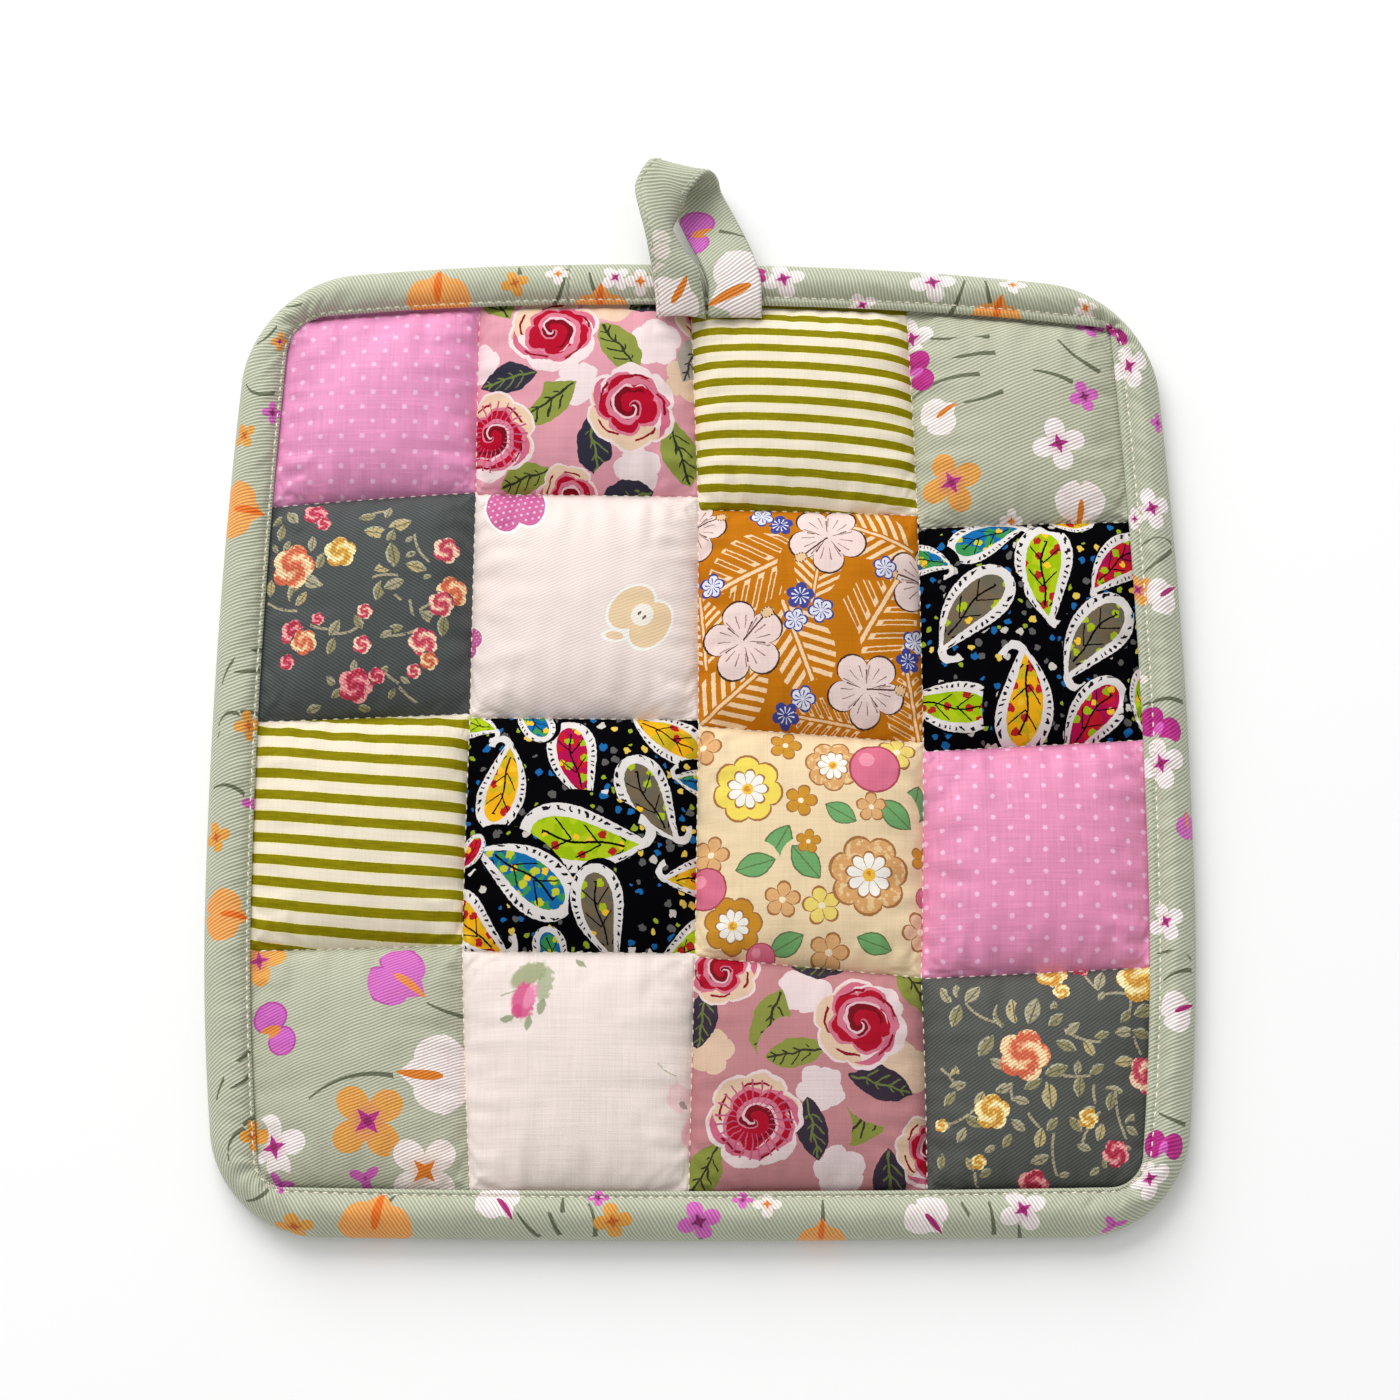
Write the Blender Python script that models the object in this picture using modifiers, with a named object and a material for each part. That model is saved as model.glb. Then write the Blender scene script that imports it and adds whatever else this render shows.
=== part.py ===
"""Quilted pot holder: a padded square of sixteen quilted cells, a binding that wraps its rim,
and a hanging loop folded over at the middle of the top edge. Metres, +Z up, lying on its back.
"""

import math

import bmesh
import bpy
import numpy as np

# The pad and its rim, before the soft edges settle
WIDTH = 0.200
HEIGHT = 0.2046
CENTRE_Y = -0.0112  # the pad's centre, with the origin under the middle of pad and loop together
TOP_RADIUS = 0.0225  # of the outer edge's top corners
BOTTOM_RADIUS = 0.0200
INNER_RADIUS = 0.0040  # of the binding's inner edge, which is nearly mitred
BINDING_WIDTH = 0.0094

# How the soft square leaves the straight one. Its sides draw in towards the top and bottom
# corners from their widest place, and its top edge falls away on both sides of a crest.
WIDEST_Y = -0.032
DRAW_IN_TOP = 0.0062
DRAW_IN_BOTTOM = 0.0048
CREST_X = -0.020
FALL_LEFT = 0.0048
FALL_RIGHT = 0.0072
RISE_BOTTOM = 0.0012

# Quilting seams, as sewn: each column by its x at the two ends, each row by its y
SEAM_COLUMNS = (
    {"seam": "left", "top": -0.0490, "bottom": -0.0475},
    {"seam": "centre", "top": -0.0010, "bottom": -0.0010},
    {"seam": "right", "top": 0.0458, "bottom": 0.0465},
)
SEAM_ROWS = (
    {"seam": "lower", "left": -0.0442, "right": -0.0487},
    {"seam": "middle", "left": 0.0031, "right": -0.0017},
    {"seam": "upper", "left": 0.0500, "right": 0.0485},
)

# Heights above the surface that it lies on
SEAM_HEIGHT = 0.0052
CROWNS = (
    {"row": "bottom", "heights": (0.0086, 0.0080, 0.0088, 0.0084)},
    {"row": "lower", "heights": (0.0082, 0.0090, 0.0086, 0.0088)},
    {"row": "upper", "heights": (0.0086, 0.0084, 0.0090, 0.0084)},
    {"row": "top", "heights": (0.0088, 0.0086, 0.0082, 0.0086)},
)
CROWN_POWER = 0.6  # under 1 makes a cell steep at its seams and flat on its crown
CHANNEL_HEIGHT = 0.0008  # how far the quilting lifts the back at a seam
CHANNEL_REACH = 0.006
RIM_LIFT = 0.0015  # the back's height where the binding passes under it
RIM_REACH = 0.004
RIM_FLAT = 0.0056  # how far the pad runs into the binding before its edge rounds off
RIM_DEPTH = 0.0072

# Where the mesh divides a cell: shares of its width, and distances from the binding's edge
CELL_SHARES = (0.06, 0.22, 0.5, 0.78, 0.94)
EDGE_DISTANCES = (0.0016, 0.0040, 0.0065, 0.0090)
LEAST_SHARE = 0.1  # left between the two sets

# The binding's section: its roll, by distance out from the inner edge and height, from the lip
# over the top and round the outside to the flat underneath
LAYER_GAP = 0.0004  # between the binding and the pad's faces
EDGE_GAP = 0.0009  # between the binding and the pad's edge, which corners make narrower
ROLL_SECTION = (
    {"out": 0.0000, "height": 0.0067},
    {"out": 0.0012, "height": 0.0075},
    {"out": 0.0034, "height": 0.0080},
    {"out": 0.0059, "height": 0.0076},
    {"out": 0.0081, "height": 0.0061},
    {"out": 0.0092, "height": 0.0043},
    {"out": 0.0094, "height": 0.0032},
    {"out": 0.0090, "height": 0.0015},
    {"out": 0.0078, "height": 0.0003},
    {"out": 0.0066, "height": 0.0000},
    {"out": 0.0008, "height": 0.0000},
)
CORNER_STEPS = 8
SIDE_STEPS = 6

# The loop is one strip. A row places the middle of its width and says how the width lies:
# turned from +X in plan, tilted about the strip's run (right edge down), and curled into an arch.
LOOP_WIDTH = 0.0112
LOOP_THICKNESS = 0.0018
FOLD_RADIUS = 0.0040
FOLD_AXIS_DEG = -13.4
FOLD_STRIP_DEG = 116.0  # between the fold's axis and the strip's run
FOLD_STEPS = 7
RIGHT_LEG = (
    {"x": 0.0076, "y": 0.0778, "z": 0.0083, "turn": 0, "tilt": 0, "curl": 4},
    {"x": 0.0075, "y": 0.0810, "z": 0.0094, "turn": 1, "tilt": 0, "curl": 6},
    {"x": 0.0073, "y": 0.0850, "z": 0.0096, "turn": 4, "tilt": 0, "curl": 8},
    {"x": 0.0059, "y": 0.0896, "z": 0.0090, "turn": 12, "tilt": -1, "curl": 6},
    {"x": 0.0041, "y": 0.0944, "z": 0.0069, "turn": 17, "tilt": -2, "curl": 4},
    {"x": 0.0020, "y": 0.0996, "z": 0.0042, "turn": 20, "tilt": -2, "curl": 2},
)
FOLD_START = {"x": -0.0009, "y": 0.1064, "z": 0.0025}
LEFT_LEG = (
    {"x": -0.0083, "y": 0.1044, "z": 0.0108, "turn": -20, "tilt": 10, "curl": 14},
    {"x": -0.0077, "y": 0.1002, "z": 0.0114, "turn": -8, "tilt": 38, "curl": 48},
    {"x": -0.0069, "y": 0.0962, "z": 0.0116, "turn": 0, "tilt": 58, "curl": 76},
    {"x": -0.0057, "y": 0.0922, "z": 0.0120, "turn": 0, "tilt": 42, "curl": 66},
    {"x": -0.0050, "y": 0.0882, "z": 0.0126, "turn": 0, "tilt": 12, "curl": 48},
    {"x": -0.0047, "y": 0.0842, "z": 0.0119, "turn": 0, "tilt": 5, "curl": 38},
    {"x": -0.0044, "y": 0.0806, "z": 0.0109, "turn": 0, "tilt": 1, "curl": 32},
    {"x": -0.0043, "y": 0.0778, "z": 0.0098, "turn": 0, "tilt": 0, "curl": 30},
)
LOOP_ACROSS = 4  # divisions of the strip's width
LOOP_PER_ROW = 3  # mesh stations between one row and the next
LEAST_CURL = 0.001  # radians, so that a strip with no arch still has a radius

# Finishes
MATERIALS = {
    "patchwork cotton": {"color": (0.62, 0.50, 0.46, 1.0), "roughness": 0.85},
    "sage binding cotton": {"color": (0.43, 0.50, 0.36, 1.0), "roughness": 0.80},
    "sage loop cotton": {"color": (0.45, 0.51, 0.38, 1.0), "roughness": 0.80},
}

HALF_WIDTH = WIDTH / 2
HALF_HEIGHT = HEIGHT / 2
INNER_X = HALF_WIDTH - BINDING_WIDTH
INNER_Y = HALF_HEIGHT - BINDING_WIDTH
CELL_SIZE = INNER_X / 2
RIM_MIDDLE = (SEAM_HEIGHT + RIM_LIFT) / 2


def clear_scene():
    for obj in list(bpy.data.objects):
        bpy.data.objects.remove(obj, do_unlink=True)


def collection_named(name):
    made = bpy.data.collections.new(name)
    bpy.context.scene.collection.children.link(made)
    return made


def material_named(name):
    material = bpy.data.materials.new(name)
    material.use_nodes = True
    shader = material.node_tree.nodes["Principled BSDF"]
    shader.inputs["Base Color"].default_value = MATERIALS[name]["color"]
    shader.inputs["Roughness"].default_value = MATERIALS[name]["roughness"]
    shader.inputs["Metallic"].default_value = 0.0
    return material


def settle(x, y):
    """Moves points of the straight-sided pad, centred on its own middle, to where the soft one lies."""
    above = np.clip((y - WIDEST_Y) / (HALF_HEIGHT - WIDEST_Y), 0, None)
    below = np.clip((WIDEST_Y - y) / (HALF_HEIGHT + WIDEST_Y), 0, None)
    draw_in = DRAW_IN_TOP * above**2 + DRAW_IN_BOTTOM * below**2
    left = np.clip((CREST_X - x) / (HALF_WIDTH + CREST_X), 0, None)
    right = np.clip((x - CREST_X) / (HALF_WIDTH - CREST_X), 0, None)
    fall = FALL_LEFT * left**2 + FALL_RIGHT * right**2
    rise = RISE_BOTTOM * (x / HALF_WIDTH) ** 2
    shift = np.where(y > 0, -fall, -rise) * y / HALF_HEIGHT
    return x * (1 - draw_in / HALF_WIDTH), y + shift + CENTRE_Y


def round_corners(x, y):
    """Bends the outermost block of each corner of the inner rectangle into a quarter disc."""
    s = (np.abs(x) - (INNER_X - INNER_RADIUS)) / INNER_RADIUS
    t = (np.abs(y) - (INNER_Y - INNER_RADIUS)) / INNER_RADIUS
    corner = (s > 0) & (t > 0)
    s, t = np.where(corner, s, 0), np.where(corner, t, 0)
    round_x = INNER_X - INNER_RADIUS + INNER_RADIUS * s * np.sqrt(1 - t * t / 2)
    round_y = INNER_Y - INNER_RADIUS + INNER_RADIUS * t * np.sqrt(1 - s * s / 2)
    return (
        np.where(corner, np.sign(x) * round_x, x),
        np.where(corner, np.sign(y) * round_y, y),
    )


def outward(x, y, distance):
    """Points of the binding's inner edge, moved towards the matching points of its outer edge.
    Both edges are rounded rectangles, and points match where they face the same way."""
    core_x = np.clip(x, INNER_RADIUS - INNER_X, INNER_X - INNER_RADIUS)
    core_y = np.clip(y, INNER_RADIUS - INNER_Y, INNER_Y - INNER_RADIUS)
    length = np.hypot(x - core_x, y - core_y)
    along_x = core_x / (INNER_X - INNER_RADIUS)
    along_y = core_y / (INNER_Y - INNER_RADIUS)
    radius = BOTTOM_RADIUS + (TOP_RADIUS - BOTTOM_RADIUS) * (1 + along_y) / 2
    outer_x = along_x * (HALF_WIDTH - radius) + radius * (x - core_x) / length
    outer_y = along_y * (HALF_HEIGHT - radius) + radius * (y - core_y) / length
    share = distance / BINDING_WIDTH
    return x + share * (outer_x - x), y + share * (outer_y - y)


def grid_lines():
    """(cell, share of the cell) of every grid line in one direction, from one rim to the other."""
    near_rim = [0.0] + [distance / CELL_SIZE for distance in EDGE_DISTANCES]
    inner = [share for share in CELL_SHARES if share > near_rim[-1] + LEAST_SHARE]
    lines = [(0, share) for share in near_rim + inner]
    for cell in (1, 2):
        lines += [(cell, share) for share in (0.0,) + CELL_SHARES]
    far_rim = [1 - share for share in reversed(near_rim)]
    inner = [1 - share for share in reversed(inner)]
    lines += [(3, share) for share in [0.0] + inner + far_rim]
    return np.array(lines)


def cell_coordinates(i, j):
    """Nominal x and y of grid line crossings, with the cell and the share of it both ways."""
    lines = grid_lines()
    cell_u, share_u = lines[i, 0].astype(int), lines[i, 1]
    cell_v, share_v = lines[j, 0].astype(int), lines[j, 1]
    tops = np.array([-INNER_X] + [c["top"] for c in SEAM_COLUMNS] + [INNER_X])
    bottoms = np.array([-INNER_X] + [c["bottom"] for c in SEAM_COLUMNS] + [INNER_X])
    lefts = np.array([-INNER_Y] + [r["left"] for r in SEAM_ROWS] + [INNER_Y])
    rights = np.array([-INNER_Y] + [r["right"] for r in SEAM_ROWS] + [INNER_Y])
    v = (cell_v + share_v) / 4
    u = (cell_u + share_u) / 4
    columns = bottoms[:, None] + (tops - bottoms)[:, None] * v
    rows = lefts[:, None] + (rights - lefts)[:, None] * u
    at = np.arange(len(i))
    x = columns[cell_u, at] + share_u * (columns[cell_u + 1, at] - columns[cell_u, at])
    y = rows[cell_v, at] + share_v * (rows[cell_v + 1, at] - rows[cell_v, at])
    return x, y, cell_u, cell_v, share_u, share_v


def front_height(cell_u, cell_v, share_u, share_v):
    """Each cell rises from its seams to its crown as a power of a sine both ways."""
    crowns = np.array([row["heights"] for row in CROWNS])[cell_v, cell_u]
    swell = np.clip(np.sin(math.pi * share_u) * np.sin(math.pi * share_v), 0, None)
    return SEAM_HEIGHT + (crowns - SEAM_HEIGHT) * swell**CROWN_POWER


def back_height(x, y, cell_u, cell_v, share_u, share_v):
    """The back is flat under each cell, lifts a little to the quilting and more to the binding."""
    to_seam = np.full(len(x), CELL_SIZE)
    for cell, share in ((cell_u, share_u), (cell_v, share_v)):
        low = np.where(cell > 0, share, 1.0)
        high = np.where(cell < 3, 1 - share, 1.0)
        to_seam = np.minimum(to_seam, np.minimum(low, high) * CELL_SIZE)
    to_rim = np.minimum(INNER_X - np.abs(x), INNER_Y - np.abs(y))
    channel = CHANNEL_HEIGHT * np.clip(1 - to_seam / CHANNEL_REACH, 0, 1) ** 2
    lift = RIM_LIFT * np.clip(1 - to_rim / RIM_REACH, 0, 1)
    return np.maximum(channel, lift)


def grid_side(mesh, front):
    """One face of the pad as a grid, shaped by the formulas above. Returns its boundary edges."""
    count = len(grid_lines()) - 1
    grid = bmesh.ops.create_grid(mesh, x_segments=count, y_segments=count, size=1)
    verts = grid["verts"]
    place = np.array([v.co[:2] for v in verts])
    i, j = np.rint((place.T + 1) / 2 * count).astype(int)
    x, y, *cell = cell_coordinates(i, j)
    z = front_height(*cell) if front else back_height(x, y, *cell)
    x, y = round_corners(x, y)
    for vert, point in zip(verts, zip(x, y, z)):
        vert.co = point
    faces = {face for vert in verts for face in vert.link_faces}
    if not front:
        bmesh.ops.reverse_faces(mesh, faces=list(faces))
    return [edge for face in faces for edge in face.edges if edge.is_boundary]


def quilted_pad(parts):
    """Front and back grids, with the rim drawn out of the front ring by ring and sewn to the back."""
    mesh = bmesh.new()
    rim = grid_side(mesh, front=True)
    back_rim = grid_side(mesh, front=False)
    reached = 0.0
    edge = ((RIM_FLAT, SEAM_HEIGHT), (RIM_DEPTH, RIM_MIDDLE), (RIM_FLAT, RIM_LIFT))
    for distance, z in edge:
        made = bmesh.ops.extrude_edge_only(mesh, edges=rim)["geom"]
        verts = [g for g in made if isinstance(g, bmesh.types.BMVert)]
        x, y = np.array([v.co[:2] for v in verts]).T
        x, y = outward(x, y, distance - reached)
        for vert, point in zip(verts, zip(x, y)):
            vert.co = (*point, z)
        rim = [g for g in made if isinstance(g, bmesh.types.BMEdge)]
        reached = distance
    bmesh.ops.bridge_loops(mesh, edges=rim + back_rim)
    place = np.array([v.co for v in mesh.verts])
    x, y = settle(place[:, 0], place[:, 1])
    for vert, point in zip(mesh.verts, zip(x, y, place[:, 2])):
        vert.co = point
    bmesh.ops.recalc_face_normals(mesh, faces=mesh.faces)
    return object_of("quilted_pad", mesh, "patchwork cotton", parts)


def object_of(name, mesh, material, parts):
    data = bpy.data.meshes.new(name)
    mesh.to_mesh(data)
    mesh.free()
    data.shade_smooth()
    data.materials.append(material_named(material))
    made = bpy.data.objects.new(name, data)
    parts.objects.link(made)
    return made


def rim_line():
    """The binding's inner edge: four straight sides and four quarter arcs, anticlockwise."""
    centre = np.array((INNER_X - INNER_RADIUS, INNER_Y - INNER_RADIUS))
    shares = np.linspace(0, 1, SIDE_STEPS + 1)[1:-1, None]
    points = []
    for quarter, signs in enumerate(((1, 1), (-1, 1), (-1, -1), (1, -1))):
        angles = (quarter + np.linspace(0, 1, CORNER_STEPS + 1)) * math.pi / 2
        directions = np.stack((np.cos(angles), np.sin(angles)), axis=1)
        arc = centre * signs + INNER_RADIUS * directions
        following = centre * (-signs[1], signs[0]) + INNER_RADIUS * directions[-1]
        points += [arc, arc[-1] + shares * (following - arc[-1])]
    return np.concatenate(points).T


def binding_section():
    """(distance out from the inner edge, height) round the folded strip: over the roll, round the
    outside, along the flat back, then back round the pad's edge inside it."""
    inside = RIM_FLAT + EDGE_GAP
    return [(row["out"], row["height"]) for row in ROLL_SECTION] + [
        (ROLL_SECTION[-1]["out"], RIM_LIFT - LAYER_GAP),
        (inside, RIM_LIFT - LAYER_GAP),
        (RIM_DEPTH + EDGE_GAP, RIM_MIDDLE),
        (inside, SEAM_HEIGHT + LAYER_GAP),
        (0.0, SEAM_HEIGHT + LAYER_GAP),
    ]


def binding(parts):
    """The section carried round the rim line: a closed loft whose corners fan out round it."""
    x, y = rim_line()
    mesh = bmesh.new()
    rings = []
    for distance, z in binding_section():
        out_x, out_y = settle(*outward(x, y, distance))
        rings.append([mesh.verts.new((a, b, z)) for a, b in zip(out_x, out_y)])
    for ring, following in zip(rings, rings[1:] + rings[:1]):
        for k in range(len(ring)):
            mesh.faces.new((ring[k - 1], ring[k], following[k], following[k - 1]))
    bmesh.ops.recalc_face_normals(mesh, faces=mesh.faces)
    return object_of("binding", mesh, "sage binding cotton", parts)


def width_of(row):
    """Unit vectors along and square to the strip's width for one row of a leg."""
    turn, tilt = math.radians(row["turn"]), math.radians(row["tilt"])
    level = np.array([math.cos(turn), math.sin(turn), 0.0])
    across = level * math.cos(tilt) + np.array([0, 0, -math.sin(tilt)])
    raised = level * math.sin(tilt) + np.array([0, 0, math.cos(tilt)])
    return across, raised


def loop_rows():
    """Centre, width direction, raised direction and curl of every row: up one leg, round the
    fold as a helix on its axis, and down the other leg. The raised side turns over at the fold."""
    rows = []
    for row in RIGHT_LEG:
        across, raised = width_of(row)
        rows.append((np.array([row["x"], row["y"], row["z"]]), across, -raised, -row["curl"]))
    angle = math.radians(FOLD_AXIS_DEG)
    axis = np.array([math.cos(angle), math.sin(angle), 0.0])
    away = np.array([-math.sin(angle), math.cos(angle), 0.0])
    up = np.array([0.0, 0.0, 1.0])
    strip = math.radians(FOLD_STRIP_DEG)
    start = np.array([FOLD_START["x"], FOLD_START["y"], FOLD_START["z"]])
    for turn in np.linspace(0, math.pi, FOLD_STEPS):
        slide = FOLD_RADIUS * turn * math.cos(strip) / math.sin(strip)
        ahead = away * math.cos(turn) + up * math.sin(turn)
        centre = start + slide * axis + FOLD_RADIUS * (
            away * math.sin(turn) + up * (1 - math.cos(turn))
        )
        across = axis * math.sin(strip) - ahead * math.cos(strip)
        raised = away * math.sin(turn) - up * math.cos(turn)
        rows.append((centre, across, raised, 0.0))
    for row in LEFT_LEG:
        across, raised = width_of(row)
        rows.append((np.array([row["x"], row["y"], row["z"]]), across, raised, row["curl"]))
    return rows


def smooth_through(values, per_row):
    """A Catmull-Rom curve through the rows, with the ends carried on straight."""
    values = np.array(values, float)
    padded = np.concatenate([2 * values[:1] - values[1:2], values, 2 * values[-1:] - values[-2:-1]])
    t = np.arange(per_row)[:, None] / per_row
    found = []
    for a, b, c, d in zip(padded, padded[1:], padded[2:], padded[3:]):
        found.append(
            b
            + 0.5 * t * (c - a)
            + t**2 * (a - 2.5 * b + 2 * c - 0.5 * d)
            + 0.5 * t**3 * (3 * b - 3 * c + d - a)
        )
    return np.concatenate(found + [values[-1:]])


def hanging_loop(parts):
    """The strip's middle surface as a grid bent along the rows, thickened both ways."""
    rows = loop_rows()
    centre = smooth_through([row[0] for row in rows], LOOP_PER_ROW)
    across = smooth_through([row[1] for row in rows], LOOP_PER_ROW)
    raised = smooth_through([row[2] for row in rows], LOOP_PER_ROW)
    curl = np.radians(smooth_through([[row[3]] for row in rows], LOOP_PER_ROW)[:, 0])
    across /= np.linalg.norm(across, axis=1)[:, None]
    raised -= across * (raised * across).sum(1)[:, None]
    raised /= np.linalg.norm(raised, axis=1)[:, None]
    length = len(centre) - 1
    mesh = bmesh.new()
    grid = bmesh.ops.create_grid(mesh, x_segments=LOOP_ACROSS, y_segments=length, size=1)
    for vert in grid["verts"]:
        share = vert.co[0] / 2
        k = round((vert.co[1] + 1) / 2 * length)
        half_angle = curl[k] if abs(curl[k]) > LEAST_CURL else LEAST_CURL
        radius = LOOP_WIDTH / 2 / half_angle
        along = radius * math.sin(2 * share * half_angle)
        drop = radius * (1 - math.cos(2 * share * half_angle))
        vert.co = centre[k] + across[k] * along - raised[k] * drop
    made = object_of("hanging_loop", mesh, "sage loop cotton", parts)
    thickness = made.modifiers.new("cloth thickness", "SOLIDIFY")
    thickness.thickness = LOOP_THICKNESS
    thickness.offset = 0.0
    return made


def main():
    clear_scene()
    parts = collection_named("quilted pot holder")
    quilted_pad(parts)
    binding(parts)
    hanging_loop(parts)


main()
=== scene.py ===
# Quilted pot holder: sixteen printed patches on a padded backing, a sage binding round its rim
# and a hanging loop folded over at the top. Metres, lying on its back; prints are laid out in mm.
import math

import bmesh
import bpy
import numpy as np
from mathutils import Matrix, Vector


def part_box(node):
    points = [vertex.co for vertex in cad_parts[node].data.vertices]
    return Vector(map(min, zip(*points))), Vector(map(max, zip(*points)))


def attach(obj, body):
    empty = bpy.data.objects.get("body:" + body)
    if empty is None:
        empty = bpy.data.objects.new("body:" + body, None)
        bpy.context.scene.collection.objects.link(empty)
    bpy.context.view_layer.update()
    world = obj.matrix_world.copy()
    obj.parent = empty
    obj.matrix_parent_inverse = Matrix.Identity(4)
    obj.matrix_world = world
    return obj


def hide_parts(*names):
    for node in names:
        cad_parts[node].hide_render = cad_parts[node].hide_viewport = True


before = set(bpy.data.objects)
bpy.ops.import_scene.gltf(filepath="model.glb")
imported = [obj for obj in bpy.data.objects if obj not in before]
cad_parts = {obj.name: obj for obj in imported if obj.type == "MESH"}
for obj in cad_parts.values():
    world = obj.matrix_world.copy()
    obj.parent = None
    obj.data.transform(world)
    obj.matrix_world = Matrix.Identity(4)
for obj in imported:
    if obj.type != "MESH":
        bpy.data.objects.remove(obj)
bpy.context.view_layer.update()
rimLow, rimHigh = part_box("binding")
mm = 0.001
body = "root"

# The pad's outline before it settles, and how it settles: sides draw in from their widest
# height, the top edge falls away on both sides of its crest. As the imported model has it.
pad = {
    "halfWidth": rimHigh.x,
    "halfHeight": (rimHigh.y - rimLow.y) / 2,
    "centreY": (rimHigh.y + rimLow.y) / 2,
    "bindingWidth": 0.0094,
    "widestY": -0.032,
    "drawInTop": 0.0062,
    "drawInBottom": 0.0048,
    "crestX": -0.020,
    "fallLeft": 0.0048,
    "fallRight": 0.0072,
    "riseBottom": 0.0012,
    "powerRight": 2.5,  # of the fall to the right of the crest; it is 2 everywhere else
}
innerX = pad["halfWidth"] - pad["bindingWidth"]
innerY = pad["halfHeight"] - pad["bindingWidth"]

# Quilting seams in mm, as unevenly sewn as they are. A column seam is given by its x at the
# bottom, at each row seam and at the top; a row seam by its y at the left and the right of every
# patch, for the rows don't quite meet. Crowns are each patch's height, bottom row first.
quilting = {
    "columns": (
        (-47.3, -47.9, -47.2, -47.6, -48.8), (-2.3, -1.0, -0.3, -0.4, -2.0), (46.7, 44.6, 45.7, 46.0, 45.8),
    ),
    "rows": (
        (-44.7, -43.2, -44.4, -44.7, -45.4, -49.8, -50.0, -48.1),
        (3.3, 4.9, 4.1, 3.6, 2.3, -1.2, -3.0, -0.6),
        (50.8, 52.4, 51.9, 51.2, 48.4, 47.9, 45.0, 48.5),
    ),
    "mismatch": 0.0083,  # of a patch, beside a column seam, where a row seam steps to the next
    "seamHeight": 0.0049,
    "crowns": (
        (0.0086, 0.0080, 0.0088, 0.0084),
        (0.0082, 0.0090, 0.0086, 0.0088),
        (0.0086, 0.0084, 0.0090, 0.0084),
        (0.0088, 0.0086, 0.0082, 0.0086),
    ),
    "crownPower": 0.6,
    "channelHeight": 0.0008,
    "channelReach": 0.006,
    "cornerRadius": 0.005,  # of the pad's corners, hidden by the binding
    "cornerRun": 0.0024,
}


def settle(x, y):
    # Straight-sided plan to soft plan: x shrinks with the square of the distance from the widest
    # height, y shifts with a power of the distance from the crest
    above = np.clip((y - pad["widestY"]) / (pad["halfHeight"] - pad["widestY"]), 0, None)
    below = np.clip((pad["widestY"] - y) / (pad["halfHeight"] + pad["widestY"]), 0, None)
    drawIn = pad["drawInTop"] * above**2 + pad["drawInBottom"] * below**2
    left = np.clip((pad["crestX"] - x) / (pad["halfWidth"] + pad["crestX"]), 0, None)
    right = np.clip((x - pad["crestX"]) / (pad["halfWidth"] - pad["crestX"]), 0, None)
    fall = pad["fallLeft"] * left**2 + pad["fallRight"] * right ** pad["powerRight"]
    rise = pad["riseBottom"] * (x / pad["halfWidth"]) ** 2
    shift = np.where(y > 0, -fall, -rise) * y / pad["halfHeight"]
    return x * (1 - drawIn / pad["halfWidth"]), y + shift + pad["centreY"]


def planOf(u, v):
    # u and v run from 0 to 4 across the cells; a point lies between its two seams each way
    step = quilting["mismatch"]
    ends = (0, 1, 1 + step, 2, 2 + step, 3, 3 + step, 4)

    def between(share, along, stops, lines, rim):
        cell = np.clip(np.floor(share), 0, 3).astype(int)[None]
        seams = [np.interp(along, stops, line) * mm for line in lines]
        seams = np.stack([np.full(along.shape, -rim), *seams, np.full(along.shape, rim)])
        near, far = (np.take_along_axis(seams, cell + k, 0)[0] for k in (0, 1))
        return near + (far - near) * (share - cell[0])

    x = between(u, v, range(5), quilting["columns"], innerX)
    y = between(v, u, ends, quilting["rows"], innerY)
    return roundCorners(x, y)


def roundCorners(x, y):
    # The outermost block of each corner, a square, bent into a quarter disc
    reach = quilting["cornerRadius"]
    size = reach + quilting["cornerRun"]
    s = np.clip(np.abs(x) - (innerX - reach), 0, size) / size
    t = np.clip(np.abs(y) - (innerY - reach), 0, size) / size
    inCorner = (s > 0) & (t > 0)
    roundX = innerX - reach + size * s * np.sqrt(1 - t * t / 2)
    roundY = innerY - reach + size * t * np.sqrt(1 - s * s / 2)
    x = np.where(inCorner, np.sign(x) * roundX, x)
    return x, np.where(inCorner, np.sign(y) * roundY, y)


def ripple(x, y, seed, waves=9):
    # Smooth unevenness from -1 to 1: a sum of sine waves in seeded directions and phases
    draw = np.random.default_rng(seed)
    total = np.zeros(np.broadcast(x, y).shape)
    for turn, phase, pitch in draw.random((waves, 3)):
        turn *= 2 * math.pi
        reach = 0.6 + 1.1 * pitch
        total += np.sin(reach * (x * math.cos(turn) + y * math.sin(turn)) + 2 * math.pi * phase)
    return total / math.sqrt(waves) / 1.4


def bump(x, reach):
    # 1 at zero, falling to nothing as a bell
    return np.exp(-((x / reach) ** 2))


def riseAndFade(distance, reach):
    # 0 at zero, 1 at the reach, and a slow fade beyond it
    return (distance / reach) * np.exp(1 - distance / reach)


def smoothThrough(rows, perRow):
    # Catmull-Rom curves along the first axis through every row, carried on straight at the ends
    rows = np.asarray(rows, float)
    ends = np.concatenate([2 * rows[:1] - rows[1:2], rows, 2 * rows[-1:] - rows[-2:-1]])
    a, b, c, d = ends[:-3], ends[1:-2], ends[2:-1], ends[3:]
    t = (np.arange(perRow) / perRow).reshape(-1, *([1] * (rows.ndim - 1)))
    parts = (
        b[:, None]
        + 0.5 * t * (c - a)[:, None]
        + t**2 * (a - 2.5 * b + 2 * c - 0.5 * d)[:, None]
        + 0.5 * t**3 * (3 * b - 3 * c + d - a)[:, None]
    )
    return np.concatenate([parts.reshape(-1, *rows.shape[1:]), rows[-1:]])


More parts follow.
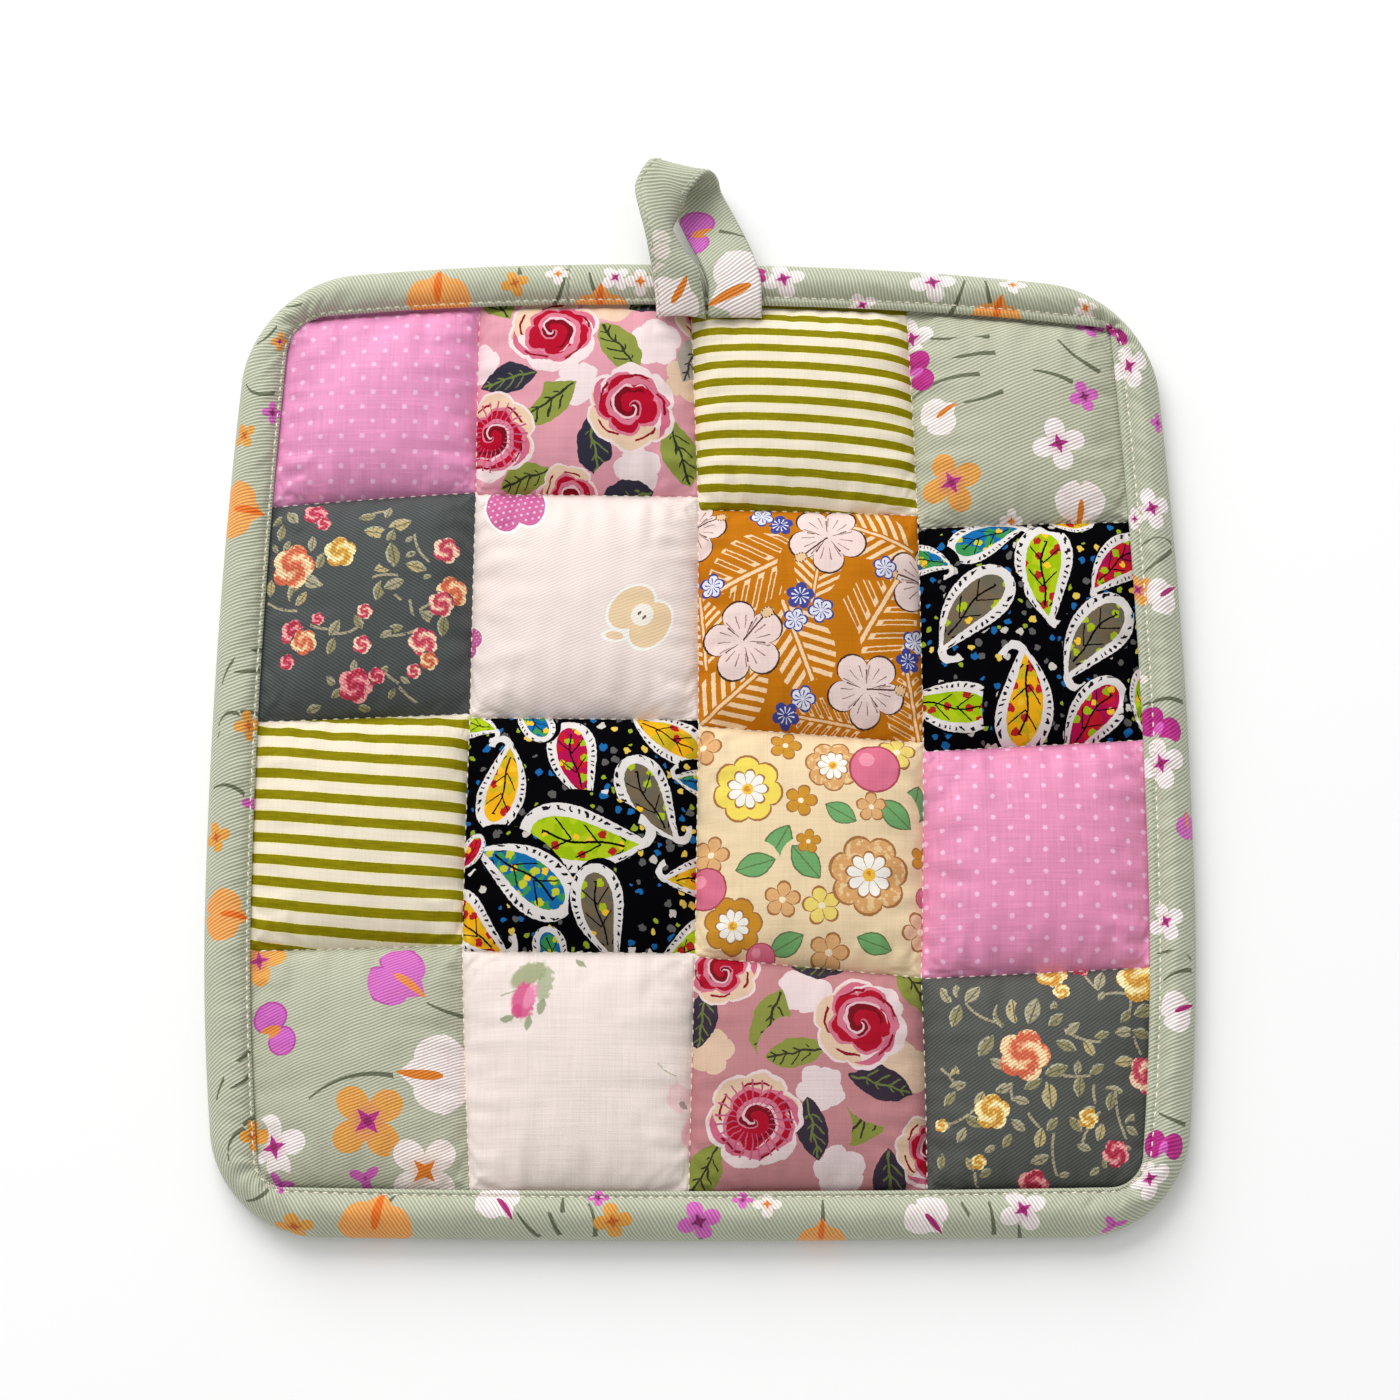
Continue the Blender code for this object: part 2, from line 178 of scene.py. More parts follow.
def gridQuads(rows, columns, ringRows=False, ringColumns=False):
    # Corner numbers of the squares between neighbouring rows and columns of a grid of points
    number = np.arange(rows * columns).reshape(rows, columns)
    number = np.vstack([number, number[:1]]) if ringRows else number
    number = np.hstack([number, number[:, :1]]) if ringColumns else number
    corners = (number[:-1, :-1], number[:-1, 1:], number[1:, 1:], number[1:, :-1])
    return np.stack(corners, axis=-1).reshape(-1, 4)


def cornerValues(values):
    # The same squares' values, four to a square, for a grid of values that isn't joined to itself
    corners = (values[:-1, :-1], values[:-1, 1:], values[1:, 1:], values[1:, :-1])
    return np.stack(corners, axis=-2).reshape(-1, values.shape[-1])


def putMesh(name, points, quads, material, maps=None):
    # points and quads become one smooth object; maps are layouts of the cloth, in mm
    data = bpy.data.meshes.new(name)
    data.from_pydata(points.reshape(-1, 3), [], quads)
    for title, values in (maps or {}).items():
        layer = data.uv_layers.new(name=title)
        layer.uv.foreach_set("vector", np.ascontiguousarray(values, np.float32).ravel())
    data.shade_smooth()
    data.materials.append(material)
    made = bpy.data.objects.new(name, data)
    bpy.context.scene.collection.objects.link(made)
    return made


print("printed cottons")


farAway = 9.0  # a distance outside every motif, as a share of its reach
batch = 20  # motifs worked out before the next ones begin
tagStep = 0.001  # of a motif's kind, carried beside its axes


class Term:
    # A number that the material works out at every point, with ordinary arithmetic
    def __init__(self, cloth, socket):
        self.cloth = cloth
        self.socket = socket

    def __add__(self, other):
        return self.cloth.math("ADD", self, other)

    def __sub__(self, other):
        return self.cloth.math("SUBTRACT", self, other)

    def __rsub__(self, other):
        return self.cloth.math("SUBTRACT", other, self)

    def __mul__(self, other):
        return self.cloth.math("MULTIPLY", self, other)

    def __truediv__(self, other):
        return self.cloth.math("DIVIDE", self, other)

    def __pow__(self, other):
        return self.cloth.math("POWER", self, other)

    def __abs__(self):
        return self.cloth.math("ABSOLUTE", self)

    def __lt__(self, other):
        return self.cloth.math("LESS_THAN", self, other)

    def __gt__(self, other):
        return self.cloth.math("GREATER_THAN", self, other)

    def __or__(self, other):
        return self.cloth.math("MAXIMUM", self, other)

    def __and__(self, other):
        return self.cloth.math("MINIMUM", self, other)

    __radd__ = __add__
    __rmul__ = __mul__


def dye(red, green, blue):
    # A screen colour, 0 to 255, as the linear values that a shader takes
    share = np.array([red, green, blue]) / 255
    linear = np.where(share > 0.04045, ((share + 0.055) / 1.055) ** 2.4, share / 12.92)
    return (*linear.tolist(), 1.0)


class Cotton:
    # One printed cloth. Its print is painted colour over colour on the layout in mm, then the
    # weave goes over it.
    def __init__(self, name, ground):
        self.material = bpy.data.materials.new(name)
        self.material.use_nodes = True
        self.nodes = self.material.node_tree.nodes
        self.links = self.material.node_tree.links
        self.shader = self.nodes["Principled BSDF"]
        self.colour = dye(*ground)
        self.layout = self.make("UVMap", uv_map="print").outputs[0]

    def put(self, socket, value):
        if isinstance(value, Term):
            value = value.socket
        if isinstance(value, bpy.types.NodeSocket):
            self.links.new(value, socket)
        else:
            socket.default_value = value

    def make(self, kind, *values, **settings):
        # A node with its settings, and its inputs given in their order
        node = self.nodes.new("ShaderNode" + kind)
        for name, value in settings.items():
            setattr(node, name, value)
        live = [socket for socket in node.inputs if socket.enabled] if kind == "Mix" else node.inputs
        for socket, value in zip(live, values):
            self.put(socket, value)
        return node

    def math(self, operation, *values):
        return Term(self, self.make("Math", *values, operation=operation).outputs[0])

    def vectorMath(self, operation, *values):
        return self.make("VectorMath", *values, operation=operation).outputs[0]

    def sin(self, value):
        return self.math("SINE", value)

    def cos(self, value):
        return self.math("COSINE", value)

    def smooth(self, value, start, end):
        # 0 before start, 1 after end, and a soft step between
        node = self.make("MapRange", value, start, end, 0.0, 1.0, interpolation_type="SMOOTHSTEP")
        return Term(self, node.outputs[0])

    def local(self, vector, place, size, turn=0, tag=0):
        # The vector in a motif's own axes: 1 at its reach along each; the tag comes back in z
        wide, high = size if isinstance(size, tuple) else (size, size)
        setting = ((*place, -tag), (0, 0, math.radians(turn)), (wide, high, 1))
        return self.make("Mapping", vector, *setting, vector_type="TEXTURE").outputs[0]

    def split(self, vector):
        return [Term(self, socket) for socket in self.make("SeparateXYZ", vector).outputs]

    def join(self, x, y):
        return self.make("CombineXYZ", x, y).outputs[0]

    def length(self, vector):
        return Term(self, self.make("VectorMath", vector, operation="LENGTH").outputs["Value"])

    def disc(self, vector, place, size, turn=0):
        # An ellipse: 0 at its middle and 1 on its edge
        return self.length(self.local(vector, place, size, turn))

    def oval(self, across, up):
        # The same for offsets that are already shares of the ellipse's two reaches
        return self.length(self.join(across, up))

    def polar(self, x, y):
        # The angle round a motif's middle and the distance from it
        return self.math("ARCTAN2", y, x), self.oval(x, y)

    def noise(self, vector, pitch, detail=1):
        node = self.make("TexNoise", vector, noise_dimensions="2D")
        node.inputs["Scale"].default_value = 1 / pitch
        node.inputs["Detail"].default_value = detail
        return node

    def unevenness(self, vector, pitch, detail=1):
        return Term(self, self.noise(vector, pitch, detail).outputs[0])

    def scatteredSpots(self, vector, pitch):
        # The distance to the nearest of many scattered spots, and that spot's own three draws
        node = self.make("TexVoronoi", vector, voronoi_dimensions="2D")
        node.inputs["Scale"].default_value = 1 / pitch
        return Term(self, node.outputs["Distance"]), self.split(node.outputs["Color"])

    def wobble(self, vector, pitch, amount):
        # The vector shifted by a noise, so that edges are as uneven as printed ones
        noise = self.noise(vector, pitch).outputs["Color"]
        shifted = self.vectorMath("MULTIPLY_ADD", noise, (amount, amount, 0), vector)
        return self.vectorMath("ADD", shifted, (-amount / 2, -amount / 2, 0))

    def blend(self, mask, one, other, kind="RGBA"):
        # A colour, or a vector, between two others: the second where the mask is 1
        node = self.make("Mix", mask, one, other, data_type=kind)
        return [socket for socket in node.outputs if socket.enabled][0]

    def paint(self, colour, mask):
        # One more colour over those painted so far
        if isinstance(colour, tuple):
            colour = dye(*colour)
        self.colour = self.blend(mask, self.colour, colour)

    def scatter(self, vector, rows, breadth=None, margin=1.0, narrow=1.0):
        # The axes of whichever motif covers each point, with its kind. A row is x, y, size, turn,
        # kind; with a breadth the size is a half length and the motif is that many mm half wide.
        # Without one, a kind below 0 is that kind mirrored, and narrow is its share of width.
        found = (farAway, farAway, 0.0)
        for number, (x, y, size, turn, kind) in enumerate(rows, start=1):
            if number % batch == 0:
                vector = self.after(found, vector)
            reach = (size, breadth) if breadth else (size, math.copysign(size * narrow, kind))
            tag = kind if breadth else abs(kind)
            own = self.local(vector, (x, y), reach, turn, tag * tagStep)
            found = self.blend(self.length(own) < margin, found, own, "VECTOR")
        x, y, tag = self.split(found)
        return x, y if breadth else y * narrow, tag / tagStep

    def after(self, earlier, vector):
        # The same vector but for less than a millionth of a mm, ready only after the earlier one:
        # a long row of motifs is then worked out in batches, which the renderer's stack holds
        return self.vectorMath("MULTIPLY_ADD", earlier, (1e-7, 1e-7, 1e-7), vector)

    def kinds(self, tag, colours):
        # The colour of each kind, numbered from 1
        colour = dye(*colours[0])
        for number, other in enumerate(colours[1:], start=2):
            colour = self.blend(self.math("COMPARE", tag, number, 0.4), colour, dye(*other))
        return colour

    def finish(self, weave, threads):
        # The weave: how it lifts the surface, and the colour it gives: lighter crests and darker valleys,
        # partly the threads' own tone and partly painted light and shade
        x, y, _ = self.split(self.make("UVMap", uv_map="weave").outputs[0])
        height = weave(self, x, y, threads)
        # painted light and shade on the weave: the colour follows its height, lighter on crests and darker
        # in valleys
        shade = threads.get("tone", 0.94) + (height - 0.5) * threads["contrast"]
        patchy = self.unevenness(self.layout, 9.0, 2)
        shade = shade * (1 + (patchy - 0.5) * threads.get("patchy", 0.10))
        printed = isinstance(self.colour, bpy.types.NodeSocket)
        colour = self.make("VectorMath", self.colour if printed else self.colour[:3], operation="SCALE")
        self.put(colour.inputs["Scale"], shade)
        relief = self.make("Bump")
        self.put(relief.inputs["Strength"], 1.0)
        self.put(relief.inputs["Distance"], threads["relief"] * mm)
        self.put(relief.inputs["Height"], height)
        finish = {
            "Base Color": colour.outputs[0],
            "Normal": relief.outputs[0],
            "Roughness": threads["roughness"] + (height - 0.5) * -0.12,
            "Specular IOR Level": threads.get("gloss", 0.3),
            "Sheen Weight": threads.get("sheen", 0.0),
            "Sheen Roughness": 0.5,
        }
        for name, value in finish.items():
            self.put(self.shader.inputs[name], value)
        return self.material


def twill(cloth, x, y, threads):
    # Ribs across x, each a rounded wave with a narrow valley, crossed by the weft's short floats
    drift = cloth.unevenness(cloth.join(x * 0.15, y * 0.15), 1.0) * 0.5
    wave = cloth.sin((x + drift) * (2 * math.pi / threads["pitch"])) * 0.5 + 0.5
    weft = cloth.sin(y * (2 * math.pi / threads["floats"]) + x * 3.0) * 0.5 + 0.5
    grain = cloth.unevenness(cloth.join(x * 3.0, y), 0.9, 2)
    return wave ** threads.get("sharp", 0.8) * (0.88 + weft * 0.12) * (0.74 + grain * 0.52)


def plainWeave(cloth, x, y, threads):
    # Warp over weft: each set of threads is a wave that the other set's wave presses down, and
    # slubs run along some threads
    step = 2 * math.pi / threads["pitch"]
    warp = cloth.sin(x * step) * cloth.sin(y * (step / 2)) * 0.25
    weft = cloth.sin(y * step) * cloth.sin(x * (step / 2)) * 0.25
    slubUp = cloth.unevenness(cloth.join(x * 2.6, y * 0.10), 1.0, 2)
    slubAcross = cloth.unevenness(cloth.join(x * 0.08 + 31.0, y * 2.6), 1.0, 2)
    slubs = (slubUp + slubAcross - 1.0) * threads.get("slubs", 0.8)
    return warp + weft + slubs + 0.5


print("front cloth")
front = {
    "perCell": 46,  # grid squares across a patch
    "crowding": 0.62,  # how much closer the lines lie at a seam than in the middle of a patch
    "spare": 0.024,  # share of cloth that is eased in
    "pressure": 4.0,
    "frames": 20,
    "mostMove": 0.0016,
    "simScale": 10,  # the cloth is worked out this much larger, where the solver's steps suit it
    "simCloth": {
        "quality": 5, "mass": 0.004, "tension_stiffness": 12, "compression_stiffness": 12,
        "shear_stiffness": 3, "bending_stiffness": 0.02, "tension_damping": 4,
        "compression_damping": 4, "air_damping": 2,
    },
    "ditch": 0.0011,  # how far the stitching pulls a seam below the patches beside it
    "ditchReach": 0.0011,
    "pucker": 0.00036,
    "puckerReach": 0.0045,
    "puckerPitch": 0.0010,
    "crinkle": 0.00009,
    "crinklePitch": (0.0010, 0.0013),
    "crinkleFade": 0.0020,  # how far from a seam the crinkle reaches its full depth
    "creaseFade": 0.0018,
    "underBinding": (0.0010, 0.0024),  # where the outer patches run on below the binding
}


def gridShares():
    # Even steps drawn towards the seams by a sine
    t = np.arange(front["perCell"]) / front["perCell"]
    shares = t - front["crowding"] * np.sin(2 * math.pi * t) / (2 * math.pi)
    under = np.array(front["underBinding"]) / (innerX / 2)
    return np.concatenate([-under[::-1], (np.arange(4)[:, None] + shares).ravel(), [4.0], 4 + under])


def crownHeight(u, v):
    # Each patch rises from its seams to its crown as a power of a sine both ways
    crowns = np.array(quilting["crowns"])
    column = np.clip(np.floor(u), 0, 3).astype(int)
    row = np.clip(np.floor(v), 0, 3).astype(int)
    swell = np.clip(np.sin(math.pi * (u - column)) * np.sin(math.pi * (v - row)), 0, None)
    low = quilting["seamHeight"]
    return low + (crowns[row, column] - low) * swell ** quilting["crownPower"]


def settleCloth(points, held):
    # The cloth, a little too large for its seams, blown up by the wadding and held at the seams
    scale = front["simScale"]
    data = bpy.data.meshes.new("settling")
    data.from_pydata(points.reshape(-1, 3) * scale, [], gridQuads(*points.shape[:2]))
    cloth = bpy.data.objects.new("settling", data)
    bpy.context.scene.collection.objects.link(cloth)
    group = cloth.vertex_groups.new(name="held")
    group.add(np.flatnonzero(held.ravel()).tolist(), 1.0, "REPLACE")
    modifier = cloth.modifiers.new("cloth", "CLOTH")
    settings = modifier.settings
    for name, value in front["simCloth"].items():
        setattr(settings, name, value)
    settings.vertex_group_mass = "held"
    settings.shrink_min = -front["spare"]
    settings.use_pressure = True
    settings.uniform_pressure_force = front["pressure"]
    settings.effector_weights.gravity = 0
    modifier.collision_settings.use_collision = False
    modifier.point_cache.frame_start = 1
    modifier.point_cache.frame_end = front["frames"]
    scene = bpy.context.scene
    for number in range(1, front["frames"] + 1):
        scene.frame_set(number)
    settled = cloth.evaluated_get(bpy.context.evaluated_depsgraph_get())
    found = np.empty(points.size, np.float32)
    settled.data.vertices.foreach_get("co", found)
    scene.frame_set(1)
    bpy.data.objects.remove(cloth)
    bpy.data.meshes.remove(data)
    move = found.reshape(points.shape) / scale - points
    size = np.linalg.norm(move, axis=-1, keepdims=True)
    most = front["mostMove"]
    return points + move * most * np.tanh(size / most) / np.maximum(size, 1e-9)


def toSeam(u, v):
    # Distances, in metres, to the nearest seam or rim line across and up
    cell = innerX / 2
    return np.abs(u - np.rint(u)) * cell, np.abs(v - np.rint(v)) * cell


# Soft troughs in single patches, by row and column from the top left; across and up are shares of
# the patch, and length, width and depth are in mm
creases = (
    # row, column, across, up, turn, length, width, depth
    (1, 1, 0.3, 0.76, 47, 13, 4.2, 0.95), (1, 1, 0.84, 0.22, 2, 8, 1.0, 0.45),
    (1, 1, 0.69, 0.12, -62, 5, 1.1, 0.5), (1, 1, 0.25, 0.6, 8, 6, 0.8, 0.2),
    (3, 4, 0.14, 0.84, 62, 6, 1.7, 0.7), (3, 4, 0.3, 0.94, 75, 4, 1.0, 0.3),
    (4, 4, 0.35, 0.92, 80, 6, 1.0, 0.5), (4, 4, 0.27, 0.94, 98, 4, 0.8, 0.35),
    (4, 4, 0.46, 0.94, 100, 4, 0.9, 0.3), (4, 1, 0.1, 0.58, 74, 13, 2.2, 0.45),
    (4, 1, 0.2, 0.2, 100, 8, 1.8, 0.3), (4, 2, 0.09, 0.5, 84, 11, 1.8, 0.4),
    (4, 2, 0.86, 0.88, 40, 7, 1.5, 0.45), (2, 2, 0.06, 0.72, 10, 4, 0.8, 0.35),
    (2, 2, 0.95, 0.55, -8, 4, 0.9, 0.3), (1, 4, 0.08, 0.08, 40, 5, 1.2, 0.35),
    (2, 3, 0.94, 0.94, 55, 5, 1.2, 0.35),
)


def frontGrid():
    shares = gridShares()
    u, v = np.meshgrid(shares, shares)
    x, y = settle(*planOf(u, v))
    points = np.stack([x, y, crownHeight(u, v)], axis=-1)
    nearU, nearV = toSeam(u, v)
    outside = (np.abs(u - 2) > 2) | (np.abs(v - 2) > 2)
    points = settleCloth(points, outside | (nearU < 1e-6) | (nearV < 1e-6))
    return u, v, points


def dressFront(u, v, points):
    # After the simulation: the stitched ditch, puckers along it, and the main creases
    nearU, nearV = toSeam(u, v)
    near = np.minimum(nearU, nearV)
    inner = (np.rint(u) % 4 != 0) | (nearU > nearV)
    drop = front["ditch"] * np.exp(-near / front["ditchReach"]) * inner
    along = np.where(nearU < nearV, points[..., 1], points[..., 0])
    which = np.where(nearU < nearV, np.rint(u) + 7, np.rint(v) + 19)
    gather = ripple(along / front["puckerPitch"] + 5 * which, which * 3.1, seed=4)
    drop += front["pucker"] * gather * riseAndFade(near, front["puckerReach"])
    shift = 9 * np.floor(u) + 31 * np.floor(v)
    pitchX, pitchY = front["crinklePitch"]
    x, y = points[..., 0] / pitchX + shift, points[..., 1] / pitchY - shift
    crinkle = ripple(x, y, seed=8, waves=14)
    drop += front["crinkle"] * crinkle * np.clip(near / front["crinkleFade"], 0, 1)
    deepening = np.clip(near / front["creaseFade"], 0, 1)
    for row, column, across, up, turn, length, width, depth in creases:
        centre = settle(*planOf(np.array(column - 1 + across), np.array(4 - row + up)))
        run, aside = np.moveaxis(turned((points[..., :2] - centre) / mm, turn), -1, 0)
        mine = (np.floor(u) == column - 1) & (np.floor(v) == 4 - row)
        drop += np.where(mine, depth * mm * bump(run, length) * bump(aside, width) * deepening, 0)
    points[..., 2] -= drop
    return points


def patchPiece(row, column, material, lie):
    # One square of the front cloth, laid out in mm from its left edge and its bottom. The outer
    # ones run on a little way below the binding.
    n, under = front["perCell"], len(front["underBinding"])
    down = 4 - row
    starts = [k * n + (under if k else 0) for k in (down, column - 1)]
    ends = [(k + 1) * n + under + (1 if k < 3 else under + 1) for k in (down, column - 1)]
    block = np.s_[starts[0]:ends[0], starts[1]:ends[1]]
    points = frontPoints[block]
    left = settle(*planOf(np.array(column - 0.99), np.array(down + 0.5)))[0]
    bottom = settle(*planOf(np.array(column - 0.5), np.array(float(down))))[1]
    x, y = settle(*planOf(frontU[block], frontV[block]))
    across, up = frontU[block] - (column - 1), frontV[block] - down
    layout = layoutOf(across, up, ((x - left) / mm, (y - bottom) / mm), lie)
    maps = {"print": cornerValues(layout), "weave": cornerValues(turned(layout, lie.get("ribs", 0)))}
    piece = putMesh(f"patch_r{row}c{column}", points, gridQuads(*points.shape[:2]), material, maps)
    finer = piece.modifiers.new("finer cloth", "SUBSURF")
    finer.levels = finer.render_levels = 1
    return piece


def layoutOf(across, up, place, lie):
    # mm on the cloth. A square may be cut askew: its threads rise by "tilt" mm from left to right
    # and arch by "arch" mm in its middle, each given for its bottom and its top
    x, y = place
    tilt, arch = (lie.get(name, (0, 0)) for name in ("tilt", "arch"))
    tilt = tilt[0] + (tilt[1] - tilt[0]) * up
    arch = arch[0] + (arch[1] - arch[0]) * up
    y = y - tilt * (across - 0.5) - arch * 4 * across * (1 - across)
    return np.stack([x, y], axis=-1)


def turned(layout, degrees):
    # The same layout with its x axis turned by so many degrees
    angle = math.radians(degrees)
    x, y = layout[..., 0], layout[..., 1]
    return np.stack(
        [x * math.cos(angle) + y * math.sin(angle), y * math.cos(angle) - x * math.sin(angle)],
        axis=-1,
    )


# The padded backing: its face lies just below the patches, its edge fills the binding, and its
# back shows the quilting as shallow channels
backing = {
    "below": 0.0005,
    "everyLine": 2,
    "rim": ((0.0032, 0.0047), (0.0048, 0.0033), (0.0032, 0.0016)),  # pushed out, height
    "rimLift": 0.0015,
    "rimReach": 0.004,
    "cornerHold": 0.75,  # share of the push that the corners lack
    "core": (0.070, 0.074),  # half the middle block from which the edge is pushed away
}


def backHeight(u, v):
    # Flat under each patch, lifted a little at the quilting and more at the binding
    nearU, nearV = toSeam(u, v)
    nearU = np.where(np.rint(u) % 4 == 0, innerX, nearU)
    nearV = np.where(np.rint(v) % 4 == 0, innerY, nearV)
    reach = quilting["channelReach"]
    channel = quilting["channelHeight"] * np.clip(1 - np.minimum(nearU, nearV) / reach, 0, 1) ** 2
    inside = (2 - np.maximum(np.abs(u - 2), np.abs(v - 2))) * innerX / 2
    lift = backing["rimLift"] * np.clip(1 - inside / backing["rimReach"], 0, 1)
    return np.maximum(channel, lift)


def padBacking(material):
    # Two grids, the face and the back, closed by rings round their border that bulge out from the
    # middle block into the binding
    under = len(front["underBinding"])
    last = 4 * front["perCell"] + 2 * under
    lines = np.concatenate([[0], np.arange(under, last - under + 1, backing["everyLine"]), [last]])
    pick = np.ix_(lines, lines)
    # the lowest of each point and its neighbours, so that no crease of the patches is cut through
    lowest = frontPoints[..., 2]
    for axis in (0, 1):
        lowest = np.minimum(lowest, np.minimum(np.roll(lowest, 1, axis), np.roll(lowest, -1, axis)))
    top = np.concatenate([frontPoints[..., :2], lowest[..., None] - backing["below"]], axis=-1)[pick]
    u, v = frontU[pick], frontV[pick]
    bottom = np.concatenate([top[..., :2], backHeight(u, v)[..., None]], axis=-1)
    size = len(lines)
    number = np.arange(size * size).reshape(size, size)
    border = np.concatenate([number[0, :-1], number[:-1, -1], number[-1, :0:-1], number[:0:-1, 0]])
    edge = top.reshape(-1, 3)[border]
    middle = (0, pad["centreY"])
    half = np.array(backing["core"])
    core = np.clip(edge[:, :2] - middle, -half, half) + middle
    away = edge[:, :2] - core
    away /= np.linalg.norm(away, axis=1, keepdims=True)
    hold = 1 - backing["cornerHold"] * (2 * np.abs(away[:, 0] * away[:, 1]))[:, None] ** 1.5
    rings = []
    for push, height in backing["rim"]:
        level = np.full((len(border), 1), height)
        rings.append(np.concatenate([edge[:, :2] + away * push * hold, level], axis=1))
    points = np.concatenate([top.reshape(-1, 3), bottom.reshape(-1, 3), *rings])
    ringNumbers = [border]
    for k in range(len(rings)):
        ringNumbers.append((2 * size * size + k * len(border)) + np.arange(len(border)))
    ringNumbers.append(border + size * size)
    quads = [gridQuads(size, size), gridQuads(size, size)[:, ::-1] + size * size]
    for upper, lower in zip(ringNumbers, ringNumbers[1:]):
        quads.append(np.stack([upper, lower, np.roll(lower, -1), np.roll(upper, -1)], axis=1))
    return putMesh("padded_backing", points, np.concatenate(quads), material)


print("binding")
# The binding runs clockwise from its join. The hem is how far in from its folded edge the strip is
# stitched down.
binding = {
    "joinX": -0.0294,
    "corners": (
        # signs of x and y, radius of the inner edge, radius of the outer edge
        (1, 1, 0.0020, 0.0225), (1, -1, 0.0062, 0.0200),
        (-1, -1, 0.0052, 0.0200), (-1, 1, 0.0080, 0.0225),
    ),
    "perSide": 330,
    "perCorner": 70,
    "perRow": 2,
    # side runs 0 to 4: 0.5 is the middle of the top, 1 the top right corner, 1.5 the right side's
    # middle and so on round; hem in mm, and how far the ribs lean from square to the strip
    "hemsAndLeans": (
        (0.00, 0.5, 16), (0.30, 0.7, 20), (0.42, 0.8, 18), (0.52, 1.5, 14), (0.75, 1.6, 14),
        (1.00, 1.9, 24), (1.15, 2.0, 34), (1.50, 2.1, 33), (1.85, 1.9, 24), (2.00, 0.9, 24),
        (2.15, 0.9, 30), (2.50, 1.2, 30), (2.80, 1.1, 32), (3.00, 0.6, 34), (3.15, 0.5, 28),
        (3.50, 0.6, 20), (3.80, 0.5, 12), (4.00, 0.5, 12),
    ),
    # tucks pressed into the roll at a place on the pad, from and to so far out from the folded
    # edge, and slanting along the strip by so much for each mm out; all in mm
    "tucks": (
        # x, y, width, depth, from, to, slant
        (-27.6, 88, 0.35, 0.3, -1, 12, 0.0), (90.0, 80.5, 0.75, 1.1, -1, 6.5, 0.15),
        (85.0, 84.5, 1.3, 0.35, 0.5, 6.0, 0.2), (-84.5, 82.5, 0.9, 0.55, -1, 4.8, 0.5),
        (-81.0, 85.0, 0.8, 0.42, -1, 4.0, 0.5), (-88.5, 79.0, 0.9, 0.4, -1, 5.0, -0.3),
        (-90.5, 75.0, 1.0, 0.3, 0, 4.0, -0.4), (-84.0, -104.5, 0.9, 0.35, -1, 4.5, 0.3),
        (84.0, -105.0, 0.9, 0.45, -1, 5.0, 0.5), (78.0, -107.0, 0.9, 0.4, -1, 5.0, 0.5),
        (71.5, -107.5, 1.0, 0.3, -1, 4.5, 0.5),
    ),
    "gather": 0.00019,
    "gatherPitch": 0.85,
    "gatherReach": 1.6,
    "cornerGather": 0.00065,
    "slow": 0.00020,  # long low waves along the roll
    "slowPitch": 3.1,
    "stitchDimple": 0.00012,
    "cornerShare": 0.09,  # of a side, taken up by half a corner
    "middleRow": 8,  # of the section's rows, the one halfway over the roll
    "foldRow": 2,  # the row on the folded edge
    "roundUnder": 1.2,  # mm of strip between the section's last row and its first
}


def rimEdges():
    # The strip's inner and outer edge at every station, and how far round each one is, 0 to 4
    arcs = []
    half = np.array([pad["halfWidth"], pad["halfHeight"]])
    for k, (*signs, innerRadius, outerRadius) in enumerate(binding["corners"]):
        angles = math.pi / 2 * (1 - k - np.linspace(0, 1, binding["perCorner"] + 1))
        facing = np.stack([np.cos(angles), np.sin(angles)], axis=1)
        inner = signs * (np.array([innerX, innerY]) - innerRadius) + innerRadius * facing
        outer = signs * (half - outerRadius) + outerRadius * facing
        arcs.append((inner, outer))
    corner = binding["cornerShare"]
    inners, outers, rounds = [], [], []
    shares = np.linspace(0, 1, binding["perSide"] + 1)[:, None]
    for k in range(4):
        before, after = arcs[k - 1], arcs[k]
        side = [a[-1] + shares * (b[0] - a[-1]) for a, b in zip(before, after)]
        roundSide = k + corner + shares[:, 0] * (1 - 2 * corner)
        keep = slice(0, -1)
        if k == 0:
            joinAt = int(np.searchsorted(side[0][:, 0], binding["joinX"]))
            held = [part[: joinAt + 1] for part in side] + [roundSide[: joinAt + 1] + 4]
            keep = slice(joinAt, -1)
        inners += [side[0][keep], after[0][:-1]]
        outers += [side[1][keep], after[1][:-1]]
        turn = k + 1 - corner + 2 * corner * np.linspace(0, 1, binding["perCorner"] + 1)[:-1]
        rounds += [roundSide[keep], turn]
    inners.append(held[0])
    outers.append(held[1])
    rounds.append(held[2])
    return np.concatenate(inners), np.concatenate(outers), np.concatenate(rounds)


def bindingSection(hem):
    # Control points (out from the folded edge, height) for every station's hem, in mm: up over
    # the folded edge, into the stitched groove, over the roll, round and under, and back inside
    lip = 6.12 + 0.34 * np.minimum(1, hem / 1.2)
    rows = (
        (0.7, 5.2), (0.02, 5.32), (-0.12, 5.70), (0.12, 6.08), (0.5 * hem + 0.08, lip), (hem, 6.05),
        (hem + 0.55, 6.78), (hem + 1.5, 7.50), (0.5 * hem + 3.75, 7.98), (6.1, 7.62), (8.1, 6.2),
        (9.12, 4.6), (9.4, 3.2), (9.05, 1.5), (7.9, 0.3), (6.6, 0.0), (4.5, 0.0), (1.3, 0.0),
        (0.8, 0.35), (1.1, 0.8), (3.0, 1.0), (6.4, 1.05), (8.0, 3.3), (6.5, 5.35), (3.0, 5.25),
    )
    return np.array([np.broadcast_arrays(out, height, hem)[:2] for out, height in rows])


def closedThrough(rows, perRow):
    # smoothThrough for rows that come round to the first again
    ends = np.concatenate([rows[-2:], rows, rows[:3]])
    return smoothThrough(ends, perRow)[2 * perRow : (2 + len(rows)) * perRow]


